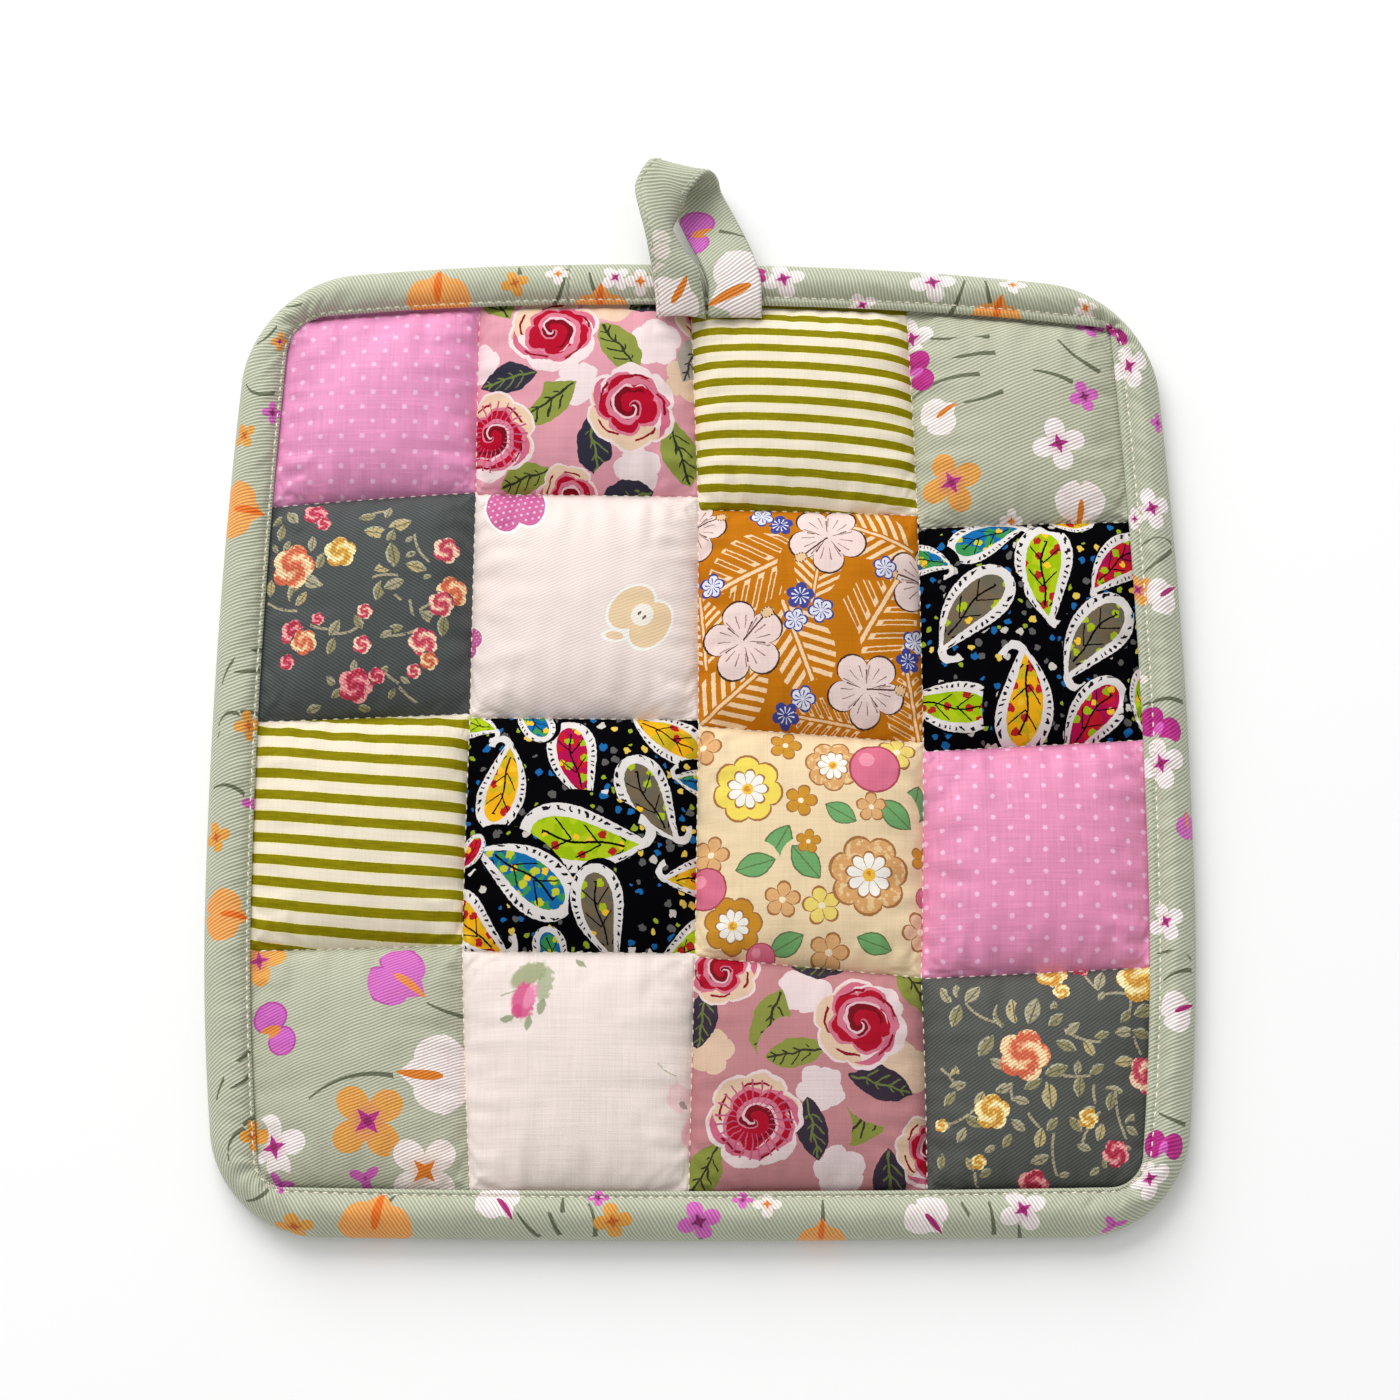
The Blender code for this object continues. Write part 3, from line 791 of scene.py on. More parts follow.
def bindingSurface():
    inner, outer, rounds = rimEdges()
    table = np.array(binding["hemsAndLeans"])
    wrapped = rounds % 4
    hem = np.interp(wrapped, table[:, 0], table[:, 1])
    lean = np.radians(np.interp(wrapped, table[:, 0], table[:, 2]))
    section = closedThrough(bindingSection(hem), binding["perRow"])  # rows, out or height, stations
    out, height = section[:, 0], section[:, 1]
    width = pad["bindingWidth"] / mm
    plan = inner[None] + (out / width)[..., None] * (outer - inner)[None]
    x, y = settle(plan[..., 0], plan[..., 1])
    halfway = binding["perRow"] * binding["middleRow"]
    middle = np.stack([x[halfway], y[halfway]], axis=-1)
    steps = np.linalg.norm(np.roll(middle, -1, axis=0) - middle, axis=1) / mm
    along = np.concatenate([[0], np.cumsum(steps)])
    # a station's points run askew near the corners: how far each is ahead of the strip's middle
    ahead = np.roll(middle, -1, axis=0) - np.roll(middle, 1, axis=0)
    ahead /= np.linalg.norm(ahead, axis=1, keepdims=True)
    lead = ((x - middle[:, 0]) * ahead[:, 0] + (y - middle[:, 1]) * ahead[:, 1]) / mm
    spans = np.hypot(np.diff(out, axis=0), np.diff(height, axis=0))
    across = np.concatenate([np.zeros((1, len(hem))), np.cumsum(spans, axis=0)])
    across -= across[binding["perRow"] * binding["foldRow"]]
    # weights: 1 on the face of the strip, fading out round the outside
    face = np.clip((9.6 - out) / 3.0, 0, 1) * (height > 3.0)
    corner = bump((rounds + 0.5) % 1 - 0.5, 0.075)
    beside = np.clip(out - hem, 0, None)
    size = binding["gather"] + binding["cornerGather"] * corner
    gather = ripple(along[:-1] / binding["gatherPitch"] + 0.5 * out, 0.4 * out, seed=31, waves=7)
    gather *= riseAndFade(beside, binding["gatherReach"])
    slow = ripple(along[:-1] / binding["slowPitch"] + 0.25 * out, 0.5 * out, seed=32, waves=7)
    drop = face * (size * gather + binding["slow"] * slow * np.clip(out / 2, 0, 1))
    onHem = np.clip(1 - np.abs(out - 0.5 * hem) / (0.5 * hem + 0.2), 0, 1)
    dimples = np.cos(2 * math.pi * along[:-1] / stitching["rimPitch"])
    drop += face * binding["stitchDimple"] * onHem * dimples
    for placeX, placeY, thin, depth, start, end, slant in binding["tucks"]:
        at = nearestStation(middle, (placeX, placeY))
        away = (along[:-1] - along[at] + along[-1] / 2) % along[-1] - along[-1] / 2
        reach = np.clip((end - out) / 2.0, 0, 1) * np.clip(out - start, 0, 1)
        drop += depth * mm * face * reach * bump(away - slant * out, thin)
    points = np.stack([x, y, height * mm - drop], axis=-1)
    return {
        "points": points, "along": along, "across": across, "hem": hem, "lean": lean, "out": out,
        "middle": middle, "lead": lead,
    }


def nearestStation(middle, place):
    return int(np.argmin(np.hypot(*(middle - np.array(place) * mm).T)))


def bindingPiece(strip, material):
    rows, stations = strip["out"].shape
    # the section closes on itself and so does the strip: layouts get one more row and column
    spanEnd = strip["across"][-1:] + binding["roundUnder"]
    across = np.concatenate([strip["across"], spanEnd])
    lead = np.concatenate([strip["lead"], strip["lead"][:1]])
    across, lead = (np.concatenate([part, part[:, :1]], axis=1) for part in (across, lead))
    along = strip["along"] + lead
    lean = np.concatenate([strip["lean"], strip["lean"][:1]])
    steps = np.diff(strip["along"])
    phase = np.concatenate([[0], np.cumsum(np.cos(strip["lean"]) * steps)])
    slide = np.concatenate([[0], np.cumsum(np.sin(strip["lean"]) * steps)])
    ribs = phase + lead * np.cos(lean) + across * np.sin(lean)
    weave = np.stack([ribs, slide + lead * np.sin(lean) - across * np.cos(lean)], axis=-1)
    maps = {
        "print": cornerValues(np.stack([along, across], axis=-1)),
        "weave": cornerValues(weave),
    }
    quads = gridQuads(rows, stations, ringRows=True, ringColumns=True)
    return putMesh("binding_strip", strip["points"], quads, material, maps)


print("hanging loop")
# One strip. A row places the middle of its width in mm and says how the width lies: turned from
# +X in plan, tilted about the strip's run (right edge down), and curled into an arch.
loop = {
    "width": 11.2,
    "thickness": 1.5,
    "foldRadius": 4.0,
    "foldAxis": -13.4,
    "foldStrip": 116.0,  # between the fold's axis and the strip's run
    "foldSteps": 7,
    "foldStart": (-0.9, 106.4, 2.5),
    "rightLeg": (
        # x, y, z, turn, tilt, curl
        (7.3, 77.8, 7.9, 0, 0, 4),
        (7.3, 81.0, 9.1, 1, 0, 6),
        (7.2, 85.0, 9.5, 4, 0, 8),
        (5.9, 89.6, 9.0, 12, -1, 6),
        (4.1, 94.4, 6.9, 17, -2, 4),
        (2.0, 99.6, 4.2, 20, -2, 2),
    ),
    "leftLeg": (
        (-8.3, 104.4, 10.8, -20, 10, 14),
        (-7.7, 100.2, 11.4, -8, 38, 48),
        (-6.9, 96.2, 11.6, 0, 58, 76),
        (-5.7, 92.2, 12.0, 0, 42, 66),
        (-4.8, 88.2, 12.4, 0, 14, 50),
        (-4.3, 84.2, 11.5, 0, 8, 44),
        (-3.9, 80.6, 10.3, 0, 6, 40),
        (-3.7, 77.8, 9.0, 0, 6, 36),
    ),
    "across": 22,
    "perRow": 7,
    "endRound": 1.3,
    "groove": 0.28,  # share of the thickness that the stitching presses down
    "grooveAt": 0.80,  # of the way from the middle to the edge
    "grooveReach": 0.55,
    "unevenness": 0.10,
    "ribs": 62,
}
upright = np.array([0.0, 0.0, 1.0])


def widthOf(turn, tilt):
    # Unit vectors along and square to the strip's width
    turn, tilt = math.radians(turn), math.radians(tilt)
    level = np.array([math.cos(turn), math.sin(turn), 0.0])
    across = level * math.cos(tilt) - upright * math.sin(tilt)
    return across, level * math.sin(tilt) + upright * math.cos(tilt)


def loopRows():
    # Up the right leg, round the fold as a helix on its axis, and down the left leg; each row is
    # its middle, its width's direction, the raised direction and the curl
    rows = []
    for x, y, z, turn, tilt, curl in loop["rightLeg"]:
        across, raised = widthOf(turn, tilt)
        rows.append(np.concatenate([(x, y, z), across, -raised, [-curl]]))
    angle, strip = math.radians(loop["foldAxis"]), math.radians(loop["foldStrip"])
    axis = np.array([math.cos(angle), math.sin(angle), 0.0])
    away = np.array([-math.sin(angle), math.cos(angle), 0.0])
    for turn in np.linspace(0, math.pi, loop["foldSteps"]):
        slide = loop["foldRadius"] * turn / math.tan(strip)
        ahead = away * math.cos(turn) + upright * math.sin(turn)
        swing = away * math.sin(turn) + upright * (1 - math.cos(turn))
        middle = np.array(loop["foldStart"]) + slide * axis + loop["foldRadius"] * swing
        across = axis * math.sin(strip) - ahead * math.cos(strip)
        raised = away * math.sin(turn) - upright * math.cos(turn)
        rows.append(np.concatenate([middle, across, raised, [0.0]]))
    for x, y, z, turn, tilt, curl in loop["leftLeg"]:
        across, raised = widthOf(turn, tilt)
        rows.append(np.concatenate([(x, y, z), across, raised, [curl]]))
    return np.array(rows)


def loopSurface():
    # The middle surface: every station's width is an arc of its curl
    path = smoothThrough(loopRows(), loop["perRow"])
    centre, across, raised, curl = path[:, :3], path[:, 3:6], path[:, 6:9], np.radians(path[:, 9])
    across /= np.linalg.norm(across, axis=1, keepdims=True)
    raised -= across * (raised * across).sum(axis=1, keepdims=True)
    raised /= np.linalg.norm(raised, axis=1, keepdims=True)
    half = np.where(np.abs(curl) > 0.001, curl, 0.001)[:, None]
    share = np.linspace(-1, 1, loop["across"] + 1)[None] / 2
    radius = loop["width"] / 2 / half
    side = radius * np.sin(2 * share * half)
    drop = radius * (1 - np.cos(2 * share * half))
    middle = centre[:, None] + side[..., None] * across[:, None] - drop[..., None] * raised[:, None]
    steps = np.linalg.norm(np.diff(centre, axis=0), axis=1)
    along = np.concatenate([[0], np.cumsum(steps)])
    return middle, along


def surfaceNormals(points):
    # Unit normals of an open grid from its two directions
    du = np.gradient(points, axis=0)
    dv = np.gradient(points, axis=1)
    normal = np.cross(du, dv)
    return normal / np.linalg.norm(normal, axis=-1, keepdims=True)


def loopPiece(material):
    middle, along = loopSurface()
    normal = surfaceNormals(middle)
    count = loop["across"]
    share = np.linspace(-1, 1, count + 1)
    ends = np.minimum(along, along[-1] - along) / loop["endRound"]
    endShape = np.sqrt(np.clip(1 - np.clip(1 - ends, 0, 1) ** 2, 0, 1))
    edgeShape = (1 - np.abs(share) ** 7) ** 0.5
    # stitched close to both edges, so the strip is thinner there and proud along its middle
    fromGroove = (np.abs(share) - loop["grooveAt"]) * loop["width"] / 2
    groove = 1 - loop["groove"] * bump(fromGroove, loop["grooveReach"])
    swell = ripple(along[:, None] / 1.6, 5 * share[None], seed=77, waves=6) * loop["unevenness"]
    offset = loop["thickness"] / 2 * edgeShape * groove * endShape[:, None]
    upper = middle + normal * (offset + swell * endShape[:, None] * edgeShape)[..., None]
    lower = middle - normal * (offset - swell * endShape[:, None] * edgeShape)[..., None]
    points = np.concatenate([upper, lower[:, -2:0:-1]], axis=1) * mm
    across = np.concatenate([share, 2 - share[-2:0:-1], [3.0]]) * loop["width"] / 2
    layout = np.stack(np.broadcast_arrays(across[None], along[:, None]), axis=-1)
    maps = {
        "print": cornerValues(layout),
        "weave": cornerValues(turned(layout, loop["ribs"])),
    }
    quads = gridQuads(points.shape[0], points.shape[1], ringColumns=True)
    piece = putMesh("loop_strip", points, quads, material, maps)
    return piece, upper * mm, normal


def closeSeams(piece):
    # Joins corners that meet and turns every face outwards
    shape = bmesh.new()
    shape.from_mesh(piece.data)
    bmesh.ops.remove_doubles(shape, verts=shape.verts, dist=2e-6)
    bmesh.ops.recalc_face_normals(shape, faces=shape.faces)
    shape.to_mesh(piece.data)
    shape.free()
    piece.data.update()


print("stitching")
stitching = {
    "seamPitch": 2.2,
    "rimPitch": 1.95,
    "loopPitch": 2.0,
    "show": 0.74,  # share of the pitch that lies on top
    "thickness": 0.00036,
    "rings": 7,
    "sides": 6,
    "seamLift": 0.00001,  # how far the threads' middles lie above the cloth
    "rimLift": 0.00011,
    "loopLift": 0.00005,
    "uneven": 0.06,  # share of the pitch by which a stitch is early or late
    "skew": 0.10,  # mm by which its ends lie to the left or right
    "sink": 1.6,  # thicknesses by which its ends dive
}


def stitchRow(path, up, pitch, lift, seed):
    # One row: each stitch is a thread that rises out of the cloth, lies on it and dives again.
    # Its ring radius goes as the root of a half ellipse, and its middle arches over its ends.
    steps = np.linalg.norm(np.diff(path, axis=0), axis=1)
    reach = np.concatenate([[0], np.cumsum(steps)])
    draw = np.random.default_rng(seed)
    count = int(reach[-1] / (pitch * mm))
    uneven, most = stitching["uneven"], stitching["skew"]
    centres = (np.arange(count) + 0.5 + draw.uniform(-uneven, uneven, count)) * reach[-1] / count
    share = np.linspace(-1, 1, stitching["rings"])
    half = pitch * mm * stitching["show"] / 2 * draw.uniform(0.9, 1.08, count)
    at = centres[:, None] + half[:, None] * share
    place = np.stack([np.interp(at, reach, path[:, k]) for k in range(3)], axis=-1)
    normal = np.stack([np.interp(at, reach, up[:, k]) for k in range(3)], axis=-1)
    normal /= np.linalg.norm(normal, axis=-1, keepdims=True)
    tangent = np.gradient(place, axis=1)
    tangent /= np.linalg.norm(tangent, axis=-1, keepdims=True)
    side = np.cross(tangent, normal)
    radius = stitching["thickness"] / 2 * np.sqrt(np.clip(1 - share**4, 0, 1))
    sink = lift - stitching["sink"] * stitching["thickness"] * share**4
    skew = draw.uniform(-most, most, count)[:, None] * mm * share
    middle = place + normal * sink[:, None] + side * skew[..., None]
    angle = np.linspace(0, 2 * math.pi, stitching["sides"], endpoint=False)
    ring = np.cos(angle)[:, None] * side[:, :, None] + np.sin(angle)[:, None] * normal[:, :, None]
    return middle[:, :, None] + radius[:, None, None] * ring


def stitchPiece(name, rows, material):
    shapes = np.concatenate(rows)
    count, rings, sides = shapes.shape[:3]
    quads = gridQuads(rings, sides, ringColumns=True)
    quads = (quads[None] + (np.arange(count) * rings * sides)[:, None, None]).reshape(-1, 4)
    piece = putMesh(name, shapes, quads, material)
    closeSeams(piece)
    return piece


def seamRows():
    # Down every quilting seam, along the lines where neighbouring patches meet
    n, under = front["perCell"], len(front["underBinding"])
    inside = slice(under, under + 4 * n + 1)
    flatUp = np.broadcast_to(upright, (4 * n + 1, 3))
    look = (flatUp, stitching["seamPitch"], stitching["seamLift"])
    rows = []
    for k in (1, 2, 3):
        line = under + k * n
        rows.append(stitchRow(frontPoints[inside, line], *look, 50 + k))
        rows.append(stitchRow(frontPoints[line, inside], *look, 60 + k))
    return rows


def rimRows(strip):
    # Round the binding, in the groove where it is stitched down
    out, points, hem = strip["out"], strip["points"], strip["hem"]
    onFace = out[: binding["perRow"] * binding["middleRow"]]
    at = np.argmin(np.where(onFace < 0, np.inf, np.abs(onFace - hem)), axis=0)
    stations = np.arange(out.shape[1])
    path = points[at, stations]
    flatUp = np.broadcast_to(upright, path.shape)
    return [stitchRow(path, flatUp, stitching["rimPitch"], stitching["rimLift"], 71)]


def loopStitchRows(upper, normal):
    # Down both edges of the hanging loop
    pitch, lift = stitching["loopPitch"], stitching["loopLift"]
    columns = (2, loop["across"] - 2)
    return [stitchRow(upper[:, k], normal[:, k], pitch, lift, 80 + k) for k in columns]


print("prints")
# The sage print: flowers of a few kinds and single bent stems, used for two patches, the
# binding and the loop. A flower's row is x, y, reach, turn, kind; a stem's is the middle's x and
# y, half its length, its turn and its bend in mm.
sageInks = {
    "ground": (186, 190, 166),
    "patchGround": (187, 189, 165),
    "stem": (100, 106, 80),
    "rim": (168, 40, 136),
    "darkHeart": (140, 12, 88),
    "petals": (
        (246, 236, 232),  # 1 white, magenta star
        (246, 235, 228),  # 2 white, orange star
        (232, 164, 72),  # 3 orange, magenta star
        (226, 160, 66),  # 4 orange, brown star
        (214, 104, 190),  # 5 orchid, dark star
        (184, 22, 128),  # 6 magenta, two petals
        (208, 98, 196),  # 7 orchid, two petals
        (246, 235, 231),  # 8 white cup, orange spike
        (238, 164, 84),  # 9 orange cup, deep orange spike
        (210, 104, 192),  # 10 orchid cup, orange spike
        (246, 236, 232),  # 11 white cup, magenta spike
        (206, 96, 180),  # 12 orchid trumpet
        (226, 216, 204),  # 13 pale blot
    ),
    "hearts": (
        (176, 30, 130), (226, 122, 22), (180, 36, 130), (196, 96, 20), (120, 20, 90),
        (216, 96, 190), (230, 140, 60), (226, 128, 24), (236, 112, 12), (232, 140, 70),
        (172, 24, 110), (170, 50, 150), (226, 216, 204),
    ),
}


def bentStems(cloth, vector, rows, margin=1.15):
    # A stem lies where y is near its bend times the square of x, which runs from -1 to 1. The
    # bend in mm is the row's kind; back come x and the distance off the stem in mm.
    breadth = 4.0
    x, y, bend = cloth.scatter(vector, rows, breadth, margin)
    return x, abs(y * breadth - bend * (x * x - 0.35))


def sagePrint(cloth, flowers, stems):
    inks = sageInks
    vector = cloth.wobble(cloth.layout, 0.5, 0.22)
    x, off = bentStems(cloth, vector, stems)
    cloth.paint(inks["stem"], (off < 0.20 + (x + 1.0) * 0.16) * (abs(x) < 1.0))
    x, y, kind = cloth.scatter(vector, flowers)
    isFour, isTrumpet = kind < 5.5, kind > 11.5
    # four round petals along the axes, notched where they meet, and a star with four points
    ax, ay = abs(x), abs(y)
    major, minor = ax | ay, ax & ay
    petal = cloth.oval((major - 0.57) / 0.44, minor / 0.38)
    four = ((petal < 1.0) | (major < 0.30)) * isFour
    fourHeart = (minor / 0.15 + major / 0.40 < 1.0) * isFour
    # two petals, one up and one down to the right
    upper = cloth.oval((x + 0.02) / 0.62, (y - 0.42) / 0.52)
    lower = cloth.oval((x - 0.12) / 0.50, (y + 0.46) / 0.50)
    pair = (upper & lower) + ((kind > 7.5) | isFour) * farAway
    pairHeart = cloth.oval((x + 0.2) / 0.42, (y + 0.02) / 0.2) < 1.0
    # a cup: two lobes that narrow to one point on the right, with a spike from the point
    lobe = cloth.oval((x + 0.33) / 0.72, (ay - 0.40) / 0.52)
    taper = ay * 0.80 + (x - 0.76) * 0.72
    wedge = (taper / 0.30 + 1.0) | (x / -0.40)
    cup = (lobe & wedge) + (isTrumpet | (kind < 7.5)) * farAway
    spikeBend = y - 0.04 + x * x * 0.10
    spike = cloth.oval((x - 0.24) / 0.55, spikeBend / (0.125 - x * 0.05)) < 1.0
    # a trumpet: three points; or a plain blot
    angle, reach = cloth.polar(x, y)
    points = 0.34 + abs(cloth.cos(angle * 1.5)) ** 3.0 * 0.62
    trumpet = (reach < (points | (kind > 12.5) * 0.86)) * isTrumpet
    petals = cloth.kinds(kind, inks["petals"])
    hearts = cloth.kinds(kind, inks["hearts"])
    whole = four | (pair < 1.0) | (cup < 1.0) | trumpet
    cloth.paint(petals, whole)
    tinted = cloth.smooth(cloth.unevenness(cloth.layout, 2.2, 1), 0.40, 0.70)
    cloth.paint(hearts, tinted * whole * 0.07)
    cloth.paint(hearts, cloth.smooth(reach, 0.55, 0.15) * four * 0.30)
    orchidCup = (cup < 1.0) * (kind > 9.5) * (kind < 10.5)
    rim = ((pair > 0.87) * (pair < 1.0)) | ((lobe > 0.90) * orchidCup * (x < 0.1))
    cloth.paint(inks["rim"], rim * 0.60)
    spikes = spike * (kind > 7.5) * (kind < 11.5)
    throat = (reach < 0.12) * trumpet
    cloth.paint(hearts, fourHeart | (pairHeart * (pair < 1.0)) | spikes | throat)
    cloth.paint(inks["darkHeart"], (reach < 0.11) * isFour * (cloth.math("MODULO", kind, 2.0) > 0.5))


dotInks = {"dot": (250, 194, 226), "edge": (0.64, 0.34), "strength": 0.95}


def dotPrint(cloth, along, between, sideways):
    # Pin dots on a staggered lattice: columns "between" apart, dots "along" apart in a column
    x, y, _ = cloth.split(cloth.wobble(cloth.layout, 0.6, 0.25))
    if sideways:
        x, y = y, x
    column = cloth.math("ROUND", x / between)
    offX = x - column * between
    shifted = y + (column - cloth.math("ROUND", column / 2.0) * 2.0) * (along / 2)
    offY = shifted - cloth.math("ROUND", shifted / along) * along
    dot = cloth.smooth(cloth.oval(offX, offY), *dotInks["edge"])
    cloth.paint(dotInks["dot"], dot * dotInks["strength"])


stripeInks = {
    "ground": (245, 233, 210), "yellowed": (250, 240, 140),
    "olive": (133, 124, 0), "lightOlive": (150, 139, 0),
    "oliveShare": 0.44, "yellowedShare": 0.06,
}


def stripePrint(cloth, pitch, start):
    # Olive stripes on cream, the cream a little yellower where it meets the dye
    x, y, _ = cloth.split(cloth.wobble(cloth.layout, 0.5, 0.12))
    edge = abs(cloth.math("FRACT", (y + start) / pitch) - 0.5)
    dyed = 0.50 - stripeInks["oliveShare"] / 2
    yellowed = cloth.smooth(edge, dyed - stripeInks["yellowedShare"], dyed)
    cloth.paint(stripeInks["yellowed"], yellowed * 0.8)
    streak = cloth.unevenness(cloth.join(x * 0.25, y * 2.0), 0.8, 2)
    streak = cloth.smooth(streak, 0.25, 0.75)
    olive = cloth.blend(streak, dye(*stripeInks["olive"]), dye(*stripeInks["lightOlive"]))
    cloth.paint(olive, edge > dyed)


def petalled(cloth, x, y, petals, depth, sharp=0.7, phase=0.0):
    # Distance from a flower's middle over its edge there, which goes in and out with the petals
    angle, reach = cloth.polar(x, y)
    lobe = abs(cloth.cos((angle + phase) * (petals / 2))) ** sharp
    return reach / ((1 - depth) + lobe * depth)


def leafShape(x, y, plump):
    # Under 1 inside a pointed leaf that runs from -1 to 1 along x
    return abs(y) / plump + x * x


roseInks = {
    "white": (246, 226, 224),
    "petals": ((246, 226, 226), (238, 206, 178)),
    "leaves": ((144, 154, 68), (50, 47, 64), (178, 168, 158)),
    "veins": ((50, 54, 38), (110, 126, 66), (66, 60, 62)),
    "cream": (238, 206, 176),
    "whirl": (216, 110, 138),
    "pink": (220, 124, 146),
    "red": (184, 0, 40),
    "darkRed": (126, 0, 24),
    "gleam": (240, 200, 206),
    "stroke": (150, 6, 36),
    "rays": (196, 96, 130),
    # painted shade: the dark brown laid over a whole rose patch that lies in shade
    "shade": (70, 30, 24),
}


def rosePrint(cloth, roses, leaves, petals):
    # Large roses: scalloped petals in rings, from white through pink to a red heart
    inks = roseInks
    vector = cloth.wobble(cloth.wobble(cloth.layout, 3.5, 1.3), 0.6, 0.22)
    x, y, kind = cloth.scatter(vector, petals)
    cloth.paint(cloth.kinds(kind, inks["petals"]), petalled(cloth, x, y, 5, 0.20) < 1.0)
    x, y, kind = cloth.scatter(vector, leaves, margin=1.25)
    shape = leafShape(x, y, 0.52)
    cloth.paint(cloth.kinds(kind, inks["leaves"]), shape < 1.0)
    side = cloth.math("FRACT", (x + abs(y) * 1.1) * 2.6)
    vein = ((abs(side - 0.5) < 0.10) * (abs(y) < 0.36) * (x < 0.5)) | (abs(y) < 0.035)
    cloth.paint(cloth.kinds(kind, inks["veins"]), vein * (shape < 0.86) * (y < 0.16))
    x, y, kind = cloth.scatter(vector, roses, margin=1.1)
    angle, reach = cloth.polar(x, y)
    outer = petalled(cloth, x, y, 6, 0.14)
    cloth.paint(inks["white"], outer < 1.0)
    cloth.paint(inks["cream"], (outer < 0.94) * (y > 0.12) * (reach > 0.35))
    whirl = cloth.sin(angle * 2.0 + reach * 9.0)
    cloth.paint(inks["whirl"], (outer < 0.90) * (whirl > 0.55) * (y < 0.45))
    middle = petalled(cloth, x - 0.08, y + 0.06, 5, 0.22, phase=0.6)
    cloth.paint(inks["pink"], middle < 0.74)
    turn = cloth.math("FRACT", angle / (2 * math.pi) + reach * 1.9)
    cloth.paint(inks["red"], (middle < 0.66) * (abs(turn - 0.45) < 0.38))
    cloth.paint(inks["darkRed"], (middle < 0.40) * (turn > 0.5))
    cloth.paint(inks["gleam"], (middle < 0.50) * (abs(turn - 0.80) < 0.055))
    stroke = cloth.math("FRACT", angle * (5 / (2 * math.pi)) + reach * 0.55)
    arc = (abs(reach - 0.76 + stroke * 0.10) < 0.028) * (abs(stroke - 0.45) < 0.28)
    cloth.paint(inks["stroke"], arc * (outer < 0.97))
    rays = cloth.sin(angle * 23.0)
    cloth.paint(inks["rays"], (rays > 0.80) * (kind > 1.5) * (reach > 0.30) * (reach < 0.80))


# For the five kinds of paisley: amber, lime, crimson, taupe and blue
paisleyInks = {
    "ground": (4, 4, 7),
    "chips": ((150, 172, 40), (228, 196, 84), (206, 200, 190), (28, 104, 168), (96, 94, 92)),
    "around": (6, 6, 10),
    "rim": (229, 223, 220),
    "hearts": ((242, 178, 26), (156, 188, 14), (178, 20, 76), (116, 102, 80), (22, 106, 166)),
    "blots": ((206, 176, 34), (176, 200, 30), (196, 30, 44), (106, 100, 84), (60, 146, 84)),
    "spots": ((186, 36, 40), (176, 40, 36), (158, 186, 24), (170, 190, 30), (196, 200, 50)),
    "fewSpots": (246, 196, 50),
    "vein": (16, 8, 14),
    "ticks": (24, 22, 30),
}


def dropHalf(cloth, x, tail, head, plump):
    # A drop's half width: a power of the way from its tip times the root of the way to its head
    rear = cloth.math("MAXIMUM", x + tail, 0.0)
    ahead = cloth.math("MAXIMUM", head - x, 0.0)
    return (rear ** 0.92) * (ahead ** 0.5) * plump + 0.0005


def paisleyPrint(cloth, paisleys):
    # Drops with a hooked tip, half a ring. White rim with ticks, dyed heart, dark branching vein;
    # chips of colour on the ground.
    inks = paisleyInks
    vector = cloth.wobble(cloth.layout, 0.8, 0.26)
    gap, draw = cloth.scatteredSpots(cloth.wobble(vector, 1.2, 0.9), 2.6)
    chip = (gap < 0.14 + draw[1] * 0.20) * (draw[0] > 0.26)
    chosen = (1.0, draw[1] > 0.45, draw[1] > 0.72, draw[2] > 0.70, draw[2] < 0.25)
    for ink, mask in zip(inks["chips"], chosen):
        cloth.paint(ink, chip * mask)
    # the drop's own x runs from its tip at -1 to its head at 1
    x, y, kind = cloth.scatter(vector, paisleys, margin=1.10, narrow=0.62)
    y = y + 0.10
    width = dropHalf(cloth, x, 0.90, 1.0, 0.51)
    middle = y - cloth.math("MAXIMUM", 0.05 - x, 0.0) ** 2.0 * 0.26
    edge = abs(middle) / width + (x < -0.90) * farAway + (x > 1.0) * farAway
    hookX = x + 0.70
    hook = abs(cloth.oval(hookX, y - 0.36) - 0.19) / 0.075 + (hookX > 0.03) * farAway
    shape = edge & hook
    cloth.paint(inks["around"], shape < 1.12)
    cloth.paint(inks["rim"], shape < 1.0)
    heart = abs(middle) / dropHalf(cloth, x, 0.76, 0.83, 0.40)
    inside = heart < 1.0
    blots = cloth.smooth(cloth.unevenness(vector, 3.2), 0.49, 0.53)
    hearts = cloth.blend(blots, cloth.kinds(kind, inks["hearts"]), cloth.kinds(kind, inks["blots"]))
    cloth.paint(hearts, inside)
    gap, draw = cloth.scatteredSpots(cloth.wobble(vector, 0.9, 0.8), 3.1)
    cloth.paint(cloth.kinds(kind, inks["spots"]), (gap < 0.27) * (draw[0] > 0.45) * inside)
    cloth.paint(inks["fewSpots"], (gap < 0.22) * (draw[0] < 0.25) * inside)
    vein = abs(middle + cloth.sin(x * 6.0) * 0.045) < 0.018
    branch = cloth.math("FRACT", (x - abs(middle) * 1.2) * 2.3)
    branches = (abs(branch - 0.5) < 0.045) * (abs(middle) < width * 0.52)
    cloth.paint(inks["vein"], (vein | branches) * inside * (abs(x - 0.05) < 0.62))
    around = cloth.math("ARCTAN2", middle, x - 0.1) * (24 / (2 * math.pi))
    ticks = cloth.math("FRACT", around + cloth.unevenness(vector, 1.5) * 0.8)
    tickRow = abs(edge - 0.85) < cloth.unevenness(vector, 0.8) * 0.15
    cloth.paint(inks["ticks"], (abs(ticks - 0.5) < 0.17) * tickRow * (heart > 1.10) * (edge < 1.0))


